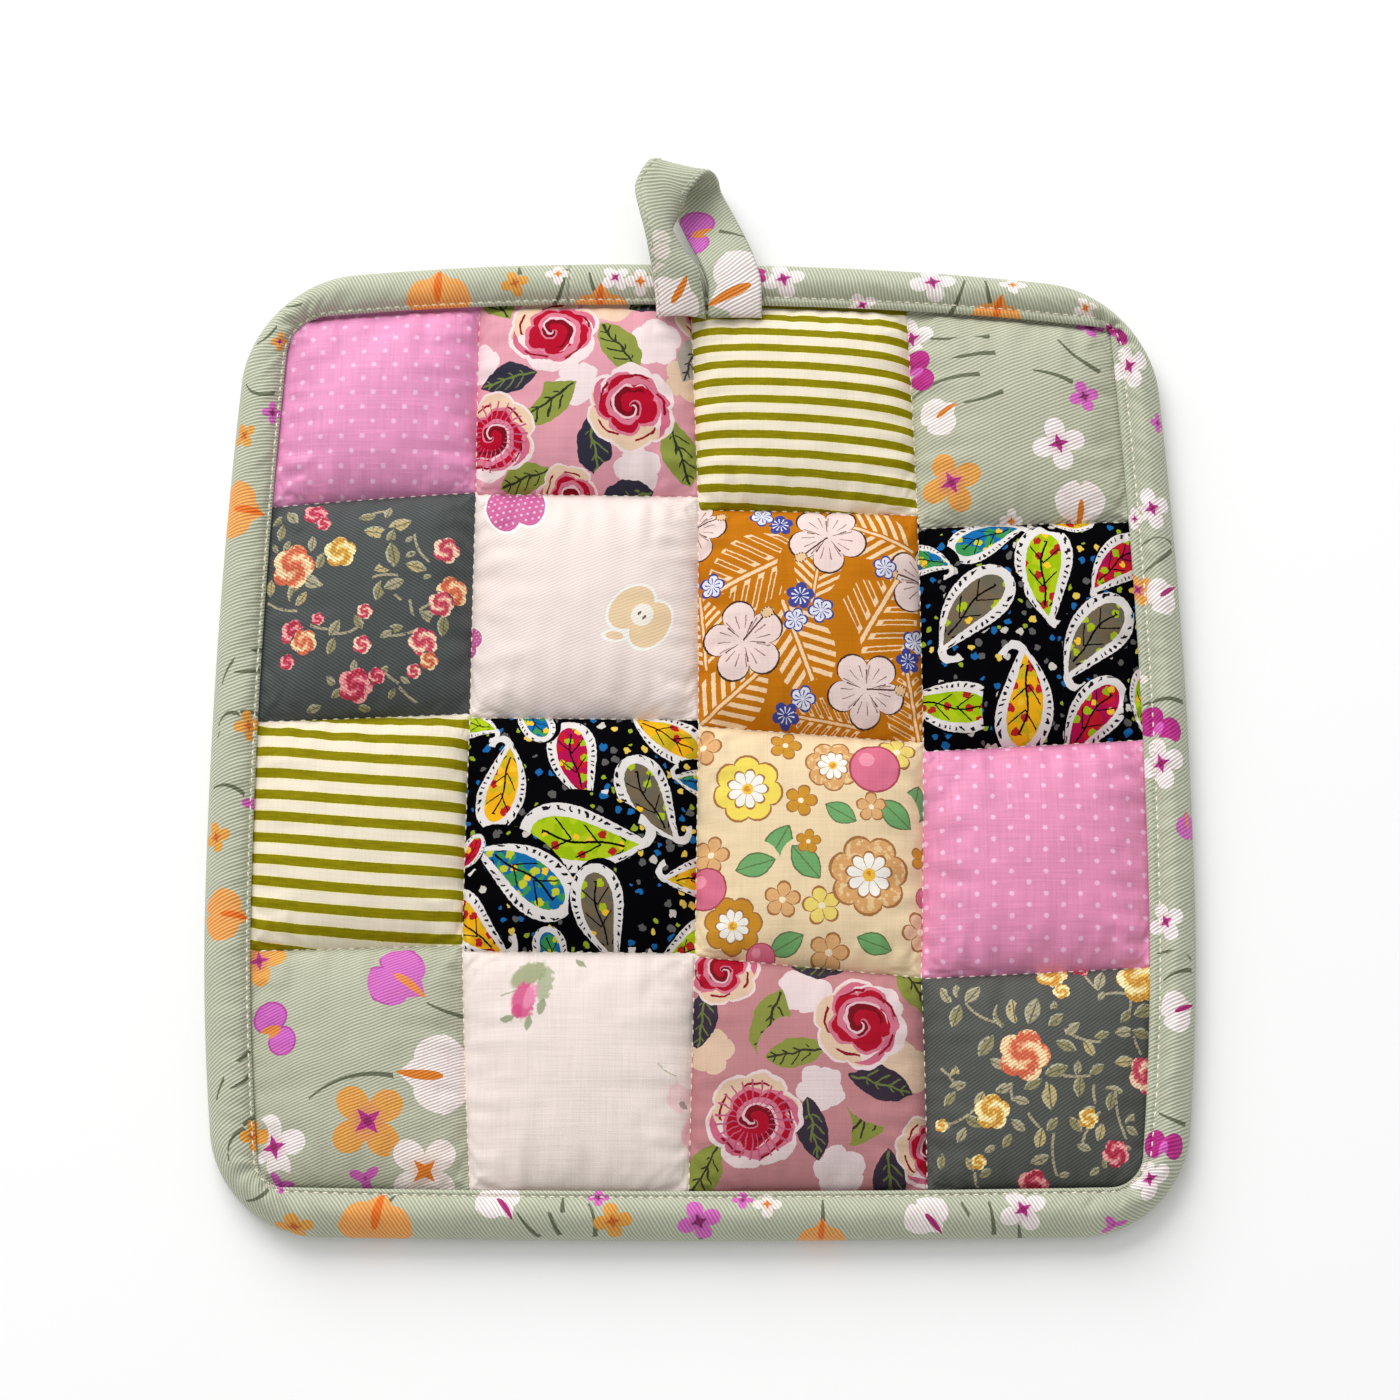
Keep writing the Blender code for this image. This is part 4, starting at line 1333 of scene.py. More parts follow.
# For the four kinds of small rose: coral pink, yellow, apricot and deep pink
slateInks = {
    "vine": (168, 157, 128),
    "leaves": ((146, 138, 98), (166, 156, 126), (188, 168, 118)),
    "leafEdge": (178, 176, 148),
    "leafVein": (92, 96, 66),
    "deep": ((196, 58, 84), (206, 146, 48), (208, 96, 62), (176, 36, 62)),
    "middle": ((226, 118, 118), (232, 192, 98), (232, 146, 104), (216, 76, 104)),
    "light": ((250, 214, 184), (250, 232, 176), (250, 218, 168), (244, 166, 162)),
}


def slatePrint(cloth, roses, leaves, vines):
    # Small roses on vines: petals whirl round a dark heart, in three tints for each kind
    inks = slateInks
    vector = cloth.wobble(cloth.layout, 0.45, 0.30)
    grain = cloth.unevenness(cloth.layout, 0.7, 2)
    x, off = bentStems(cloth, vector, vines, margin=1.2)
    cloth.paint(inks["vine"], (off < 0.28) * (abs(x) < 1.0) * (grain > 0.34))
    x, y, kind = cloth.scatter(vector, leaves, margin=1.2)
    shape = leafShape(x, y, 0.52)
    cloth.paint(cloth.kinds(kind, inks["leaves"]), (shape < 1.0) * cloth.smooth(grain, 0.26, 0.40))
    cloth.paint(inks["leafEdge"], (shape > 0.66) * (shape < 1.0) * (y > 0.0) * (grain > 0.40))
    cloth.paint(inks["leafVein"], (abs(y + 0.06) < 0.05) * (shape < 0.9))
    x, y, kind = cloth.scatter(vector, roses)
    angle, reach = cloth.polar(x, y)
    whirl = cloth.sin(angle * 2.0 + reach * 8.0 + grain * 5.0) * 0.5 + 0.5
    deep, middle, light = (cloth.kinds(kind, inks[name]) for name in ("deep", "middle", "light"))
    rose = cloth.blend(cloth.smooth(whirl, 0.18, 0.42), deep, middle)
    rose = cloth.blend(cloth.smooth(whirl * (0.55 + reach * 0.7), 0.62, 0.80), rose, light)
    cloth.paint(rose, petalled(cloth, x, y, 5, 0.22) < 0.98)
    cloth.paint(deep, (reach < 0.20) * (grain > 0.42))


tropicalInks = {
    "ground": (198, 118, 8),
    "frond": (248, 214, 172),
    "frondHollow": (197, 118, 10),
    "bloomEdge": (70, 46, 40),
    "bloom": (240, 216, 210),
    "bloomLines": (96, 66, 58),
    "bloomCreases": (150, 120, 112),
    "anthers": (232, 196, 150),
    "blossom": (66, 72, 150),
    "blossomPetals": (232, 232, 240),
    "blossomStreaks": (70, 78, 160),
    "blossomRays": (238, 238, 244),
}


def tropicalPrint(cloth, fronds, blooms, small):
    # Orange ground; split leaves as cream strokes either side of a rib; pale blooms with a thin
    # outline; and small blue blossoms
    inks = tropicalInks
    vector = cloth.wobble(cloth.layout, 0.7, 0.24)
    x, y, kind = cloth.scatter(vector, fronds, margin=1.1)
    away = abs(y)
    outline = away / 0.62 + x * x
    tooth = abs(cloth.math("FRACT", (x - away * 0.75) * 4.2) - 0.5)
    fingers = (tooth < 0.23) * (away > 0.07)
    cloth.paint(inks["frond"], (fingers | (away < 0.030)) * (outline < 1.0))
    hollow = (tooth < 0.13) * (away > 0.14) * (kind < 1.5)
    cloth.paint(inks["frondHollow"], hollow * (outline < 0.93))
    x, y, _ = cloth.scatter(vector, blooms)
    angle, reach = cloth.polar(x, y)
    bloom = petalled(cloth, x, y, 5, 0.42, 0.55)
    cloth.paint(inks["bloomEdge"], bloom < 0.98)
    cloth.paint(inks["bloom"], bloom < 0.93)
    between = abs(cloth.cos(angle * 2.5)) < 0.10
    cloth.paint(inks["bloomLines"], between * (reach > 0.14) * (reach < 0.50))
    creasesIn = (cloth.sin(angle * 15.0) > 0.93) * (reach > 0.30) * (reach < 0.62)
    cloth.paint(inks["bloomCreases"], creasesIn)
    stamen = abs(y - x * 0.35 - 0.02) < 0.022
    cloth.paint(inks["bloomLines"], stamen * (x > 0.0) * (x < 0.78))
    anthers = cloth.oval((x - 0.80) / 0.16, (y - 0.30) / 0.13)
    cloth.paint(inks["anthers"], anthers < 1.0)
    cloth.paint(inks["bloomLines"], (abs(anthers - 0.9) < 0.14) * (cloth.sin(x * 90.0) > 0.0))
    x, y, kind = cloth.scatter(vector, small)
    angle, reach = cloth.polar(x, y)
    blossom = petalled(cloth, x, y, 5, 0.40, 0.6)
    cloth.paint(inks["blossom"], blossom < 1.0)
    cloth.paint(inks["blossomPetals"], (blossom < 0.84) * (kind < 1.5))
    streaks = (cloth.sin(angle * 10.0) > 0.55) * (reach < 0.62)
    cloth.paint(inks["blossomStreaks"], streaks * (reach > 0.12) * (kind < 1.5))
    cloth.paint(inks["blossomRays"], streaks * (reach > 0.15) * (kind > 1.5))


meadowInks = {
    "ground": (241, 216, 175),
    "line": (168, 112, 62),
    "leafEdge": (96, 120, 72),
    "leaf": (112, 170, 104),
    "minor": ((228, 176, 118), (240, 216, 112), (238, 196, 160), (206, 146, 34)),
    "minorHeart": (250, 236, 200),
    "flowers": ((222, 166, 104), (244, 220, 92), (206, 142, 30)),
    "mottle": (238, 204, 150),
    "daisy": (250, 246, 236),
    "daisyHeart": (246, 196, 70),
    "daisyDots": (214, 146, 40),
    "budEdge": (168, 70, 84),
    "bud": (220, 112, 140),
    "budGleam": (240, 150, 170),
}


def meadowPrint(cloth, flowers, leaves, minor, buds):
    # Cream ground; flowers in two tints with a fine brown outline round every petal
    inks = meadowInks
    vector = cloth.wobble(cloth.layout, 0.8, 0.24)
    x, y, _ = cloth.scatter(vector, leaves, margin=1.2)
    shape = leafShape(x, y, 0.60)
    cloth.paint(inks["leafEdge"], shape < 1.0)
    cloth.paint(inks["leaf"], (shape < 0.86) * (abs(y) > 0.03))
    x, y, kind = cloth.scatter(vector, minor)
    angle, reach = cloth.polar(x, y)
    petal = petalled(cloth, x, y, 5, 0.46, 0.6)
    cloth.paint(inks["line"], petal < 1.0)
    cloth.paint(cloth.kinds(kind, inks["minor"]), (petal < 0.88) * (abs(cloth.cos(angle * 2.5)) > 0.13))
    cloth.paint(inks["minorHeart"], reach < 0.17)
    x, y, kind = cloth.scatter(vector, flowers)
    angle, reach = cloth.polar(x, y)
    petal = petalled(cloth, x, y, 7, 0.20, 0.6)
    cloth.paint(inks["line"], petal < 1.0)
    cloth.paint(cloth.kinds(kind, inks["flowers"]), petal < 0.93)
    mottled = cloth.unevenness(cloth.layout, 1.4, 2)
    cloth.paint(inks["mottle"], (petal < 0.93) * (mottled > 0.56) * (kind < 1.5))
    daisy = petalled(cloth, x, y, 9, 0.34, 0.6)
    cloth.paint(inks["line"], daisy < 0.60)
    cloth.paint(inks["daisy"], (daisy < 0.54) * (abs(cloth.cos(angle * 4.5)) > 0.12))
    cloth.paint(inks["daisyHeart"], reach < 0.16)
    cloth.paint(inks["daisyDots"], (reach < 0.10) * (mottled > 0.48))
    x, y, _ = cloth.scatter(vector, buds)
    bud = cloth.oval(x, y)
    cloth.paint(inks["budEdge"], bud < 1.0)
    cloth.paint(inks["bud"], bud < 0.92)
    cloth.paint(inks["budGleam"], cloth.oval(x + 0.3, y - 0.35) < 0.30)


appleInks = {
    "ground": (243, 227, 220),
    "around": (250, 246, 240),
    "apples": ((202, 84, 148), (238, 208, 166)),
    "dots": (236, 190, 214),
    "core": (248, 240, 226),
    "pips": (96, 66, 52),
}


def applePrint(cloth, apples):
    # An apple: two lobes side by side, a leaf over the dimple; kind 1 is dotted magenta, kind 2
    # beige with a paler core
    inks = appleInks
    vector = cloth.wobble(cloth.layout, 0.5, 0.20)
    x, y, kind = cloth.scatter(vector, apples, margin=1.25)
    ax = abs(x)
    lobe = cloth.oval((ax - 0.36) / 0.50, (y + 0.08 - ax * 0.10) / 0.74)
    leaf = cloth.disc(cloth.join(x, y), (0.16, 0.88), (0.28, 0.13), 38)
    cloth.paint(inks["around"], (lobe < 1.13) | (leaf < 1.4))
    cloth.paint(cloth.kinds(kind, inks["apples"]), (lobe < 1.0) | (leaf < 0.9))
    offX = abs(cloth.math("FRACT", x * 5.2 + cloth.math("ROUND", y * 5.2) * 0.5) - 0.5)
    offY = abs(cloth.math("FRACT", y * 5.2 + 0.5) - 0.5)
    cloth.paint(inks["dots"], (cloth.oval(offX, offY) < 0.20) * (lobe < 0.92) * (kind < 1.5))
    core = cloth.oval(x / 0.30, (y + 0.10) / 0.34)
    cloth.paint(inks["core"], (core < 1.0) * (kind > 1.5))
    pips = cloth.oval((ax - 0.09) / 0.035, (y + 0.08) / 0.075)
    cloth.paint(inks["pips"], (pips < 1.0) * (kind > 1.5))


rosebudInks = {"ground": (241, 227, 220), "leaf": (132, 148, 100), "stem": (150, 158, 116)}


def rosebudPrint(cloth, blots, leaves, stems):
    # A faded rosebud: soft blots of washed-out dye, with thin stems
    vector = cloth.wobble(cloth.layout, 0.9, 0.7)
    for x, y, size, turn, tint, strength in blots:
        near = cloth.disc(vector, (x, y), size, turn)
        mottle = cloth.unevenness(cloth.layout, 0.9, 3)
        cloth.paint(tint, cloth.smooth(near + mottle * 0.5, 1.32, 1.02) * strength)
    x, y, _ = cloth.scatter(vector, leaves, margin=1.2)
    shape = leafShape(x, y, 0.5)
    cloth.paint(rosebudInks["leaf"], cloth.smooth(shape, 1.05, 0.70) * 0.8)
    x, off = bentStems(cloth, vector, stems)
    cloth.paint(rosebudInks["stem"], (off < 0.16) * (abs(x) < 1.0) * 0.7)


# Where the prints' motifs lie, in mm from a patch's lower left corner, and in mm on the pad for
# the binding. A row is x, y, reach, turn and kind; a stem's or a vine's is x, y, half its length,
# its turn and its bend.
sageFlowers = {
    "binding": (
        (-54.4, 83.9, 7.3, 90, 9), (-38.5, 85.3, 3, 20, 4), (-29.9, 87.5, 2.7, 0, 2),
        (-20.9, 81.3, 6.5, 90, 9), (-17.6, 87, 3.2, 40, 1), (17.4, 86.8, 4.6, 15, 1),
        (12.6, 87.7, 2.2, 0, 6), (33.8, 81.3, 3.2, 30, 1), (48.8, 86.2, 4.9, 10, 1),
        (65.5, 85.3, 2.9, 0, 2), (62.2, 79.3, 5.8, 80, 9), (80.4, 80, 2.7, 20, 2),
        (86.8, 74.7, 4.1, 60, 6), (89.3, 67.2, 4.9, 20, 1), (95, 55.4, 2.2, 0, 5),
        (93.4, 36.4, 4.6, 20, 1), (89.4, 34.5, 2.4, 0, 1), (90, 19.5, 3.7, 30, 3),
        (95.5, 18.2, 4.4, 35, 11), (90.1, 0.6, 2.4, 0, 2), (93.1, -9.9, 5.4, 55, 6),
        (93.5, -17.4, 5.4, 15, 1), (98.6, -29.8, 3.5, 100, 10), (93.6, -49.9, 4.1, 25, 1),
        (96.1, -68, 4.6, 20, 11), (91.7, -95.4, 4.9, 75, 6), (88.7, -101.8, 4.9, 10, 1),
        (81.6, -110.6, 2.7, 0, 12), (63.5, -107.9, 4.9, 30, 1), (45.3, -109.6, 5.1, -50, 11),
        (24.2, -112.6, 5.2, 90, 9), (13.2, -106.5, 2.9, 0, 2), (8.3, -105.9, 2.2, 0, 5),
        (0, -110.2, 4.4, 20, 5), (-17, -110.2, 3.9, 10, 4), (-20.1, -105.5, 2.2, 0, 5),
        (-39.3, -106.5, 5.1, -55, 11), (-63.5, -110.2, 7.9, 80, 9), (-80, -111.2, 3.4, 10, 4),
        (-83, -103.3, 3.2, -100, 12), (-88.8, -93, 3.2, 10, 4), (-94.8, -48.9, 5.8, -5, 9),
        (-97.3, -32.5, 3.2, 15, 4), (-90.4, -25.7, 3.7, 180, 12), (-91.9, -9.4, 3.2, 10, 4),
        (-94, 36.2, 6.7, -10, 9), (-88.6, 57.4, 2.4, 0, 5), (-94.3, 52.4, 2.9, 30, 4),
        (-87.7, 72.7, 2.4, 0, 3), (-12.6, 86.2, 3.2, 0, 2),
    ),
    "r1c4": (
        (34.8, 26.4, 3.3, 20, 5), (5.6, 22.8, 4.6, 35, 8), (33.6, 3, 5.6, -90, 8), (29.2, 16, 5.5, 15, 1),
        (7.4, 8.2, 6.3, 25, 3), (-0.4, 40.2, 4.6, 10, 1), (0.8, 32.8, 4.8, 10, 6), (19.6, 0.4, 2.4, 0, 2),
        (37, 43, 3, 0, 5),
    ),
    "r4c1": (
        (0.5, 45.9, 5.5, 10, 3), (4.2, 31.6, 6, 20, 7), (29.5, 41.1, 7, -35, 10),
        (35.3, 22.7, 8.5, 180, 8), (23.2, 13.2, 8, 40, 3), (34.3, 3.7, 7.5, 45, 2),
        (22.7, 2.1, 3.4, 40, 12), (4.7, 8.4, 6.5, 15, 1), (-0.5, 10.5, 4, 0, 4), (5.8, 1, 3, 0, 12),
    ),
    "loop": (
        (10.4, 5.4, 9, 338, 8), (14.4, 22.4, 6.2, 15, 7), (-2.6, 61, 2.1, 0, 13), (-3, 63.6, 2.1, 70, 13),
        (-3.6, 67.8, 2, 20, 13), (-1, 72.8, 6.2, -56, 8),
    ),
}
sageStems = {
    "binding": (
        (-91.4, 61.7, 3.7, -17, 1.6), (-85.1, 80.6, 2.3, -17, 0.8), (-90, 73.8, 2.9, 27, 1),
        (-28.7, 84.5, 4.8, -107, -0.4), (-22.4, 85.1, 3.5, -72, 0.3), (-37.6, 88.9, 1.4, -85, 0),
        (54, 82.4, 4.7, -110, -0.3), (60.2, 83.3, 3.4, -80, 0.2), (94, 29.6, 3.9, 5, -0.8),
        (94.6, 25.2, 4.5, 35, 0.3), (94.4, -4.1, 5, 4, -0.6), (95.2, -56.4, 4.1, -10, -0.8),
        (95.7, -60.8, 3.6, 18, -0.6), (93.7, -90.1, 3.3, -21, 0.4), (54, -110.3, 4.3, -54, 0.4),
        (57.6, -109.8, 3.8, -82, -0.2), (63.1, -112, 2.2, -83, 0), (24.3, -108, 2.7, -90, 0),
        (-21.1, -109.8, 3.8, -81, -0.6), (-29.1, -109, 4.6, -71, 0.4), (-27, -106.4, 1.9, -90, 0),
        (-33.9, -111.3, 3.6, -52, 0.2), (0.2, -113, 1.2, -108, 0), (-60.8, -105.5, 1.4, -123, 0),
        (-87.1, -105.4, 3.6, 35, 0.5), (-92.8, -80.8, 6.2, 53, -1.2), (-90.9, -82.6, 2.6, 35, 0.3),
        (-91.7, -92.7, 5.7, 52, -1.8), (-92.3, -93.8, 2.8, 52, -0.8), (-94.2, 4.1, 6.1, 37, -2.2),
        (-91.9, 1.7, 3, 8, 0.2), (-94.5, -8.1, 5.5, 26, -2.4), (-96, -7.8, 2.6, 23, -1.2),
        (-95.5, -22.4, 3.7, -13, -1),
    ),
    "r1c4": (
        (9.3, 39.2, 6.4, 0, 0.6), (10.4, 34.8, 6.4, 11, -0.6), (6.3, 29.7, 7.2, 14, -1),
        (14.1, 25.7, 4.2, 15, 0.3), (33.7, 35.1, 5.5, -38, 0.8), (28.5, 30.7, 4.2, -17, -0.4),
    ),
    "r4c1": ((39, 35.3, 5, -12, 0.6), (19.5, 21.1, 8.5, 15, -2)),
    "loop": ((7.9, 19.2, 2.8, 36, 0.2),),
}
slateRoses = {
    "r4c4": (
        (19, 26.1, 5.3, 0, 3), (25.1, 43.4, 3.4, 0, 2), (26.8, 39.3, 1.8, 40, 2), (9.2, 45.2, 2.5, 20, 3),
        (31.1, 45, 2.2, 0, 4), (42.7, 41.7, 4.8, 30, 2), (43.8, 22.7, 4.1, 60, 1), (12.6, 15, 3.6, 15, 2),
        (31.3, 13.8, 2.1, 0, 2), (36.7, 7.1, 2.8, 50, 4), (20.6, 0.6, 3.4, 0, 4), (9.9, 5.4, 1.6, 0, 2),
        (2.6, 12.6, 1.4, 0, 2),
    ),
    "r2c1": (
        (5.6, 31, 4.8, 0, 3), (15.4, 33.6, 3.4, 20, 2), (9.9, 42.6, 2.6, 0, 4), (11.8, 40, 1.6, 0, 4),
        (6, 17, 2.8, 0, 4), (8.4, 15, 2.8, 50, 3), (5, 11, 1.7, 0, 4), (11.2, 19.6, 1.4, 0, 4),
        (20.6, 21, 1.7, 0, 1), (20.2, 14.2, 2, 0, 1), (18.9, 6, 3.7, 0, 4), (23.2, 8, 1.8, 30, 4),
        (36.8, 34.4, 2.9, 0, 1), (38.2, 25.8, 3.4, 30, 3), (36, 23, 2.8, 10, 1), (32.4, 15, 3.1, 40, 1),
        (33.6, 11.2, 2, 0, 3), (30.6, 9, 1.6, 0, 1),
    ),
}
slateVines = {
    "r4c4": (
        (10.5, 34.4, 3.8, -35, 0.8), (28.9, 22, 3, 0, 0.2), (32.7, 17.8, 2.6, -80, 0.5),
        (37.5, 14.7, 5, -78, 0.6), (37.2, 38.7, 2.8, 5, -0.5), (41.7, 28.5, 1.9, -65, 0.2),
        (40.3, 36.1, 1.9, 80, 0.2), (32.9, 41, 2, -52, 0.2), (24.5, 6.7, 4.2, -85, 0.6),
        (20.6, 13.3, 1.8, -50, 0.2), (4.3, 22, 2.6, -52, -0.3), (16.4, 18.9, 1.8, -85, 0.2),
        (9.3, 1.9, 1.6, -80, 0.2), (7.2, 14.4, 4.2, 32, 0.8), (30.4, 29.6, 3.8, -18, 0.7),
        (31.4, 11.8, 4, 62, -0.7),
    ),
    "r2c1": (
        (3.4, 22.4, 3.6, -20, 0.6), (12.6, 17.6, 3, -10, 0.3), (17.6, 17.2, 3.4, 20, 0.9),
        (27.4, 23.6, 3.6, -42, -0.5), (24.6, 28.6, 2.6, 5, -0.3), (31.4, 34.4, 3.4, -62, 0.8),
        (30.2, 21, 2.6, -75, 0.2), (33.6, 22.6, 2.4, 25, -0.4), (27, 7, 3.4, -35, 0.3),
        (29.4, 4.2, 2.4, -40, 0.2), (12.4, 33.6, 2, 35, 0.2), (22.6, 42.6, 3, 10, -0.5),
        (28.6, 16.6, 3, 15, 0.4), (10.8, 27.6, 1.6, -40, 0),
    ),
}
slateLeaves = {
    "r4c4": (
        (14.4, 34, 2.5, 100, 1), (17.1, 35, 2.7, 95, 3), (20.9, 35, 2.9, 70, 2), (25.1, 36, 1.3, 75, 2),
        (25.4, 33.2, 2, 40, 1), (11.6, 28, 2.6, 55, 1), (4, 38.4, 2, -60, 2), (6.1, 39.3, 1.5, 90, 2),
        (9.2, 38.6, 2.4, 52, 2), (5.9, 34.2, 2.4, 70, 1), (23.7, 18.2, 2.9, 95, 3),
        (20.6, 20.4, 2, 30, 1), (25.2, 23.1, 2.5, 20, 1), (15, 19.6, 1.9, 20, 2),
        (18.2, 17.2, 1.7, -15, 2), (29.6, 20, 2.2, 85, 1), (33.2, 23.4, 1.8, 35, 1),
        (29.4, 23.6, 1.5, 80, 2), (36.6, 19.4, 1.9, -10, 2), (35.8, 17.2, 1.9, 80, 1),
        (39, 31, 2.1, 8, 2), (42.8, 31, 2.1, -10, 1), (39.4, 34.2, 1.7, 50, 1), (43.4, 35.6, 2.6, 25, 1),
        (34.6, 41.6, 2.2, 70, 2), (34.6, 38.2, 1.2, 60, 2), (39, 25.2, 2.2, 10, 3),
        (39.8, 13.6, 1.7, 50, 2), (40.2, 11.6, 1.6, -30, 2), (21.8, 9.8, 2.2, 80, 3),
        (24.2, 12.6, 1.7, 50, 1), (21.8, 5.8, 2, 20, 2), (5.4, 22.4, 1.9, 80, 3), (5.9, 20.3, 1.9, 12, 2),
        (4.4, 17.8, 1.8, 50, 1), (12.1, 7.9, 1.3, 30, 2), (8.2, 5, 1.5, -60, 3), (11.2, 3.2, 1.5, 35, 1),
        (26.6, 2.8, 1.2, 15, 2), (32.6, 3.6, 1.3, 40, 2), (34.4, 5, 1, -70, 1), (39, 8.2, 1, -10, 2),
        (9, 13.2, 2, -30, 1), (6.6, 10.6, 1.7, 60, 2), (3.2, 12.4, 1.6, 20, 2), (10.2, 17.4, 1.9, 65, 3),
        (2.6, 5.6, 1.6, 80, 1), (13.9, 24.4, 1.9, -30, 2), (27.3, 28, 2.2, -25, 1),
        (28.6, 31.4, 1.9, 40, 2), (31.8, 27.6, 1.9, -60, 3), (34.4, 30.2, 1.6, 20, 1),
        (17.6, 12.4, 1.8, -40, 2), (15.4, 9.4, 1.6, 60, 1), (28.8, 12.6, 1.9, -50, 1),
        (31.2, 15.2, 1.7, 30, 2), (33.6, 11.2, 1.9, 75, 3), (30.4, 8.2, 1.5, -20, 2),
    ),
    "r2c1": (
        (2.6, 41.4, 2, 30, 1), (5.2, 41.8, 2, -50, 2), (3, 38.6, 1.8, 80, 1), (1.6, 35.4, 1.1, -60, 2),
        (4.2, 35.6, 1.3, 50, 2), (9.6, 35.6, 1.7, 85, 2), (11.4, 31.6, 1.7, 70, 1),
        (9.4, 27.6, 2.6, -30, 2), (5.8, 25.8, 2.4, 75, 1), (7.6, 24, 1.8, 50, 3), (14.6, 17.6, 2, 60, 2),
        (14, 14, 1.8, 70, 1), (11.6, 19, 1, 0, 2), (19.4, 18.8, 1.6, -60, 1), (24.4, 30.4, 2.2, 20, 3),
        (22.6, 38, 2.6, -8, 3), (27.2, 39.6, 2.6, 22, 3), (25.6, 36.8, 1.8, 75, 1),
        (20.6, 41.6, 1.8, 15, 1), (24.8, 42.6, 1.5, 70, 2), (26, 33, 2.7, 100, 1),
        (23.4, 25.4, 2.2, 75, 1), (26.4, 26.8, 2.2, 25, 2), (30.8, 30.6, 2.2, -15, 3),
        (29.6, 33.2, 1.2, 30, 2), (29.2, 36.4, 1, 40, 2), (33.6, 20.2, 2.2, -25, 2),
        (36.4, 18.6, 2.3, 85, 1), (26.8, 17.6, 1.7, 15, 1), (25, 16.4, 1.4, 30, 2), (14, 7, 1.4, -50, 2),
        (15.2, 4.6, 1.5, 40, 1), (18.6, 9.8, 1.4, 80, 2), (24.6, 9, 1.4, 50, 1), (28.8, 7.2, 1.2, -30, 2),
        (26.2, 4.4, 1.3, 60, 1), (10.4, 1.6, 1.6, 20, 2), (20.6, 1.6, 1.4, -10, 1), (0.8, 27, 1.8, 85, 3),
        (33, 28.6, 1, 20, 2),
    ),
}
paisleys = {
    "r3c2": (
        (6.9, 34, 9.8, -110, -1), (22.5, 37.9, 9.8, 98, -3), (37.6, 30, 10.5, 114, -4),
        (24.4, 22.6, 13.5, 166, -2), (11, 14.6, 12.2, -41, -5), (27.8, 7, 10.3, 98, -4),
        (40.2, 45, 9.6, -25, 1), (47, 16, 9, 20, 1), (1.6, 5.4, 10.1, 130, -1), (16.6, -2, 6.8, 100, 5),
        (44.6, 1, 9, 40, 2), (13.4, 49, 6.8, -60, 5), (47.2, 35.5, 6.4, 10, 5), (0.2, 20, 4.5, 60, 3),
        (0.8, 46.6, 6.4, 170, 2),
    ),
    "r2c4": (
        (13.8, 43, 8.8, 212, 5), (25.4, 34.6, 11.6, 84, -2), (9.8, 26.8, 11.4, 42, -4),
        (40, 37, 9.4, 38, -3), (34.6, 21, 11.4, 45, -4), (4.6, 8.8, 10.2, -5, 2),
        (19.6, 9.4, 11.4, -100, -1), (34, 4.4, 10.2, 50, -3), (0.6, 38.4, 6.6, 170, 5),
        (45.6, 9.6, 7.4, 70, -2), (30, 48, 5.6, 0, 1),
    ),
}
roses = {
    "r1c2": (
        (15.5, 34.5, 9.6, 20, 1), (31.5, 17.5, 9.4, 150, 1), (3, 12, 9.4, -35, 2), (47.5, 39, 7, 80, 1),
        (18.5, -0.5, 6.4, 0, 1),
    ),
    "r4c3": ((33, 33, 9.6, 100, 1), (12, 14, 9.8, 10, 2), (47, 8, 7.6, 60, 1), (6, 44, 7.4, 190, 1)),
}
rosePetals = {
    "r1c2": (
        (27, 42.5, 6, 0, 2), (36.5, 32, 5.4, 20, 1), (20.6, 22.5, 4.8, 50, 1), (43, 24.5, 4.6, 0, 2),
        (33, 4.6, 5, 30, 1), (0, 28, 4.4, 0, 1),
    ),
    "r4c3": (
        (22, 40, 5.4, 0, 1), (42, 24.5, 5.4, 20, 2), (25, 20, 4.8, 50, 1), (3.6, 27.6, 4.6, 0, 2),
        (28.6, 4, 5.2, 30, 1),
    ),
}
roseLeaves = {
    "r1c2": (
        (37.4, 43.5, 7.1, 25, 2), (29.2, 30.6, 7.1, -55, 1), (14.2, 18.4, 7.5, 35, 1),
        (24, 9, 6.8, 100, 2), (41.5, 8.5, 7.5, 110, 1), (3, 43.5, 6.8, -60, 1), (6.4, 24, 6.2, 10, 2),
        (44.5, 29.8, 6.2, 70, 3), (30.4, -0.6, 6.2, 10, 2), (10, 3, 5.7, 20, 1),
    ),
    "r4c3": (
        (15.2, 33, 7.3, 70, 1), (44.6, 41, 7.3, 125, 1), (32.6, 13.4, 7.5, 30, 1),
        (1.6, 34.6, 6.4, 80, 2), (23.4, 12, 6.2, 100, 2), (37, 21, 6.6, 165, 2), (26, 46, 6.4, 10, 2),
        (2, 4, 6.8, 60, 1), (38.6, 2, 6.4, 95, 2), (20, 27, 5.9, 10, 1),
    ),
}
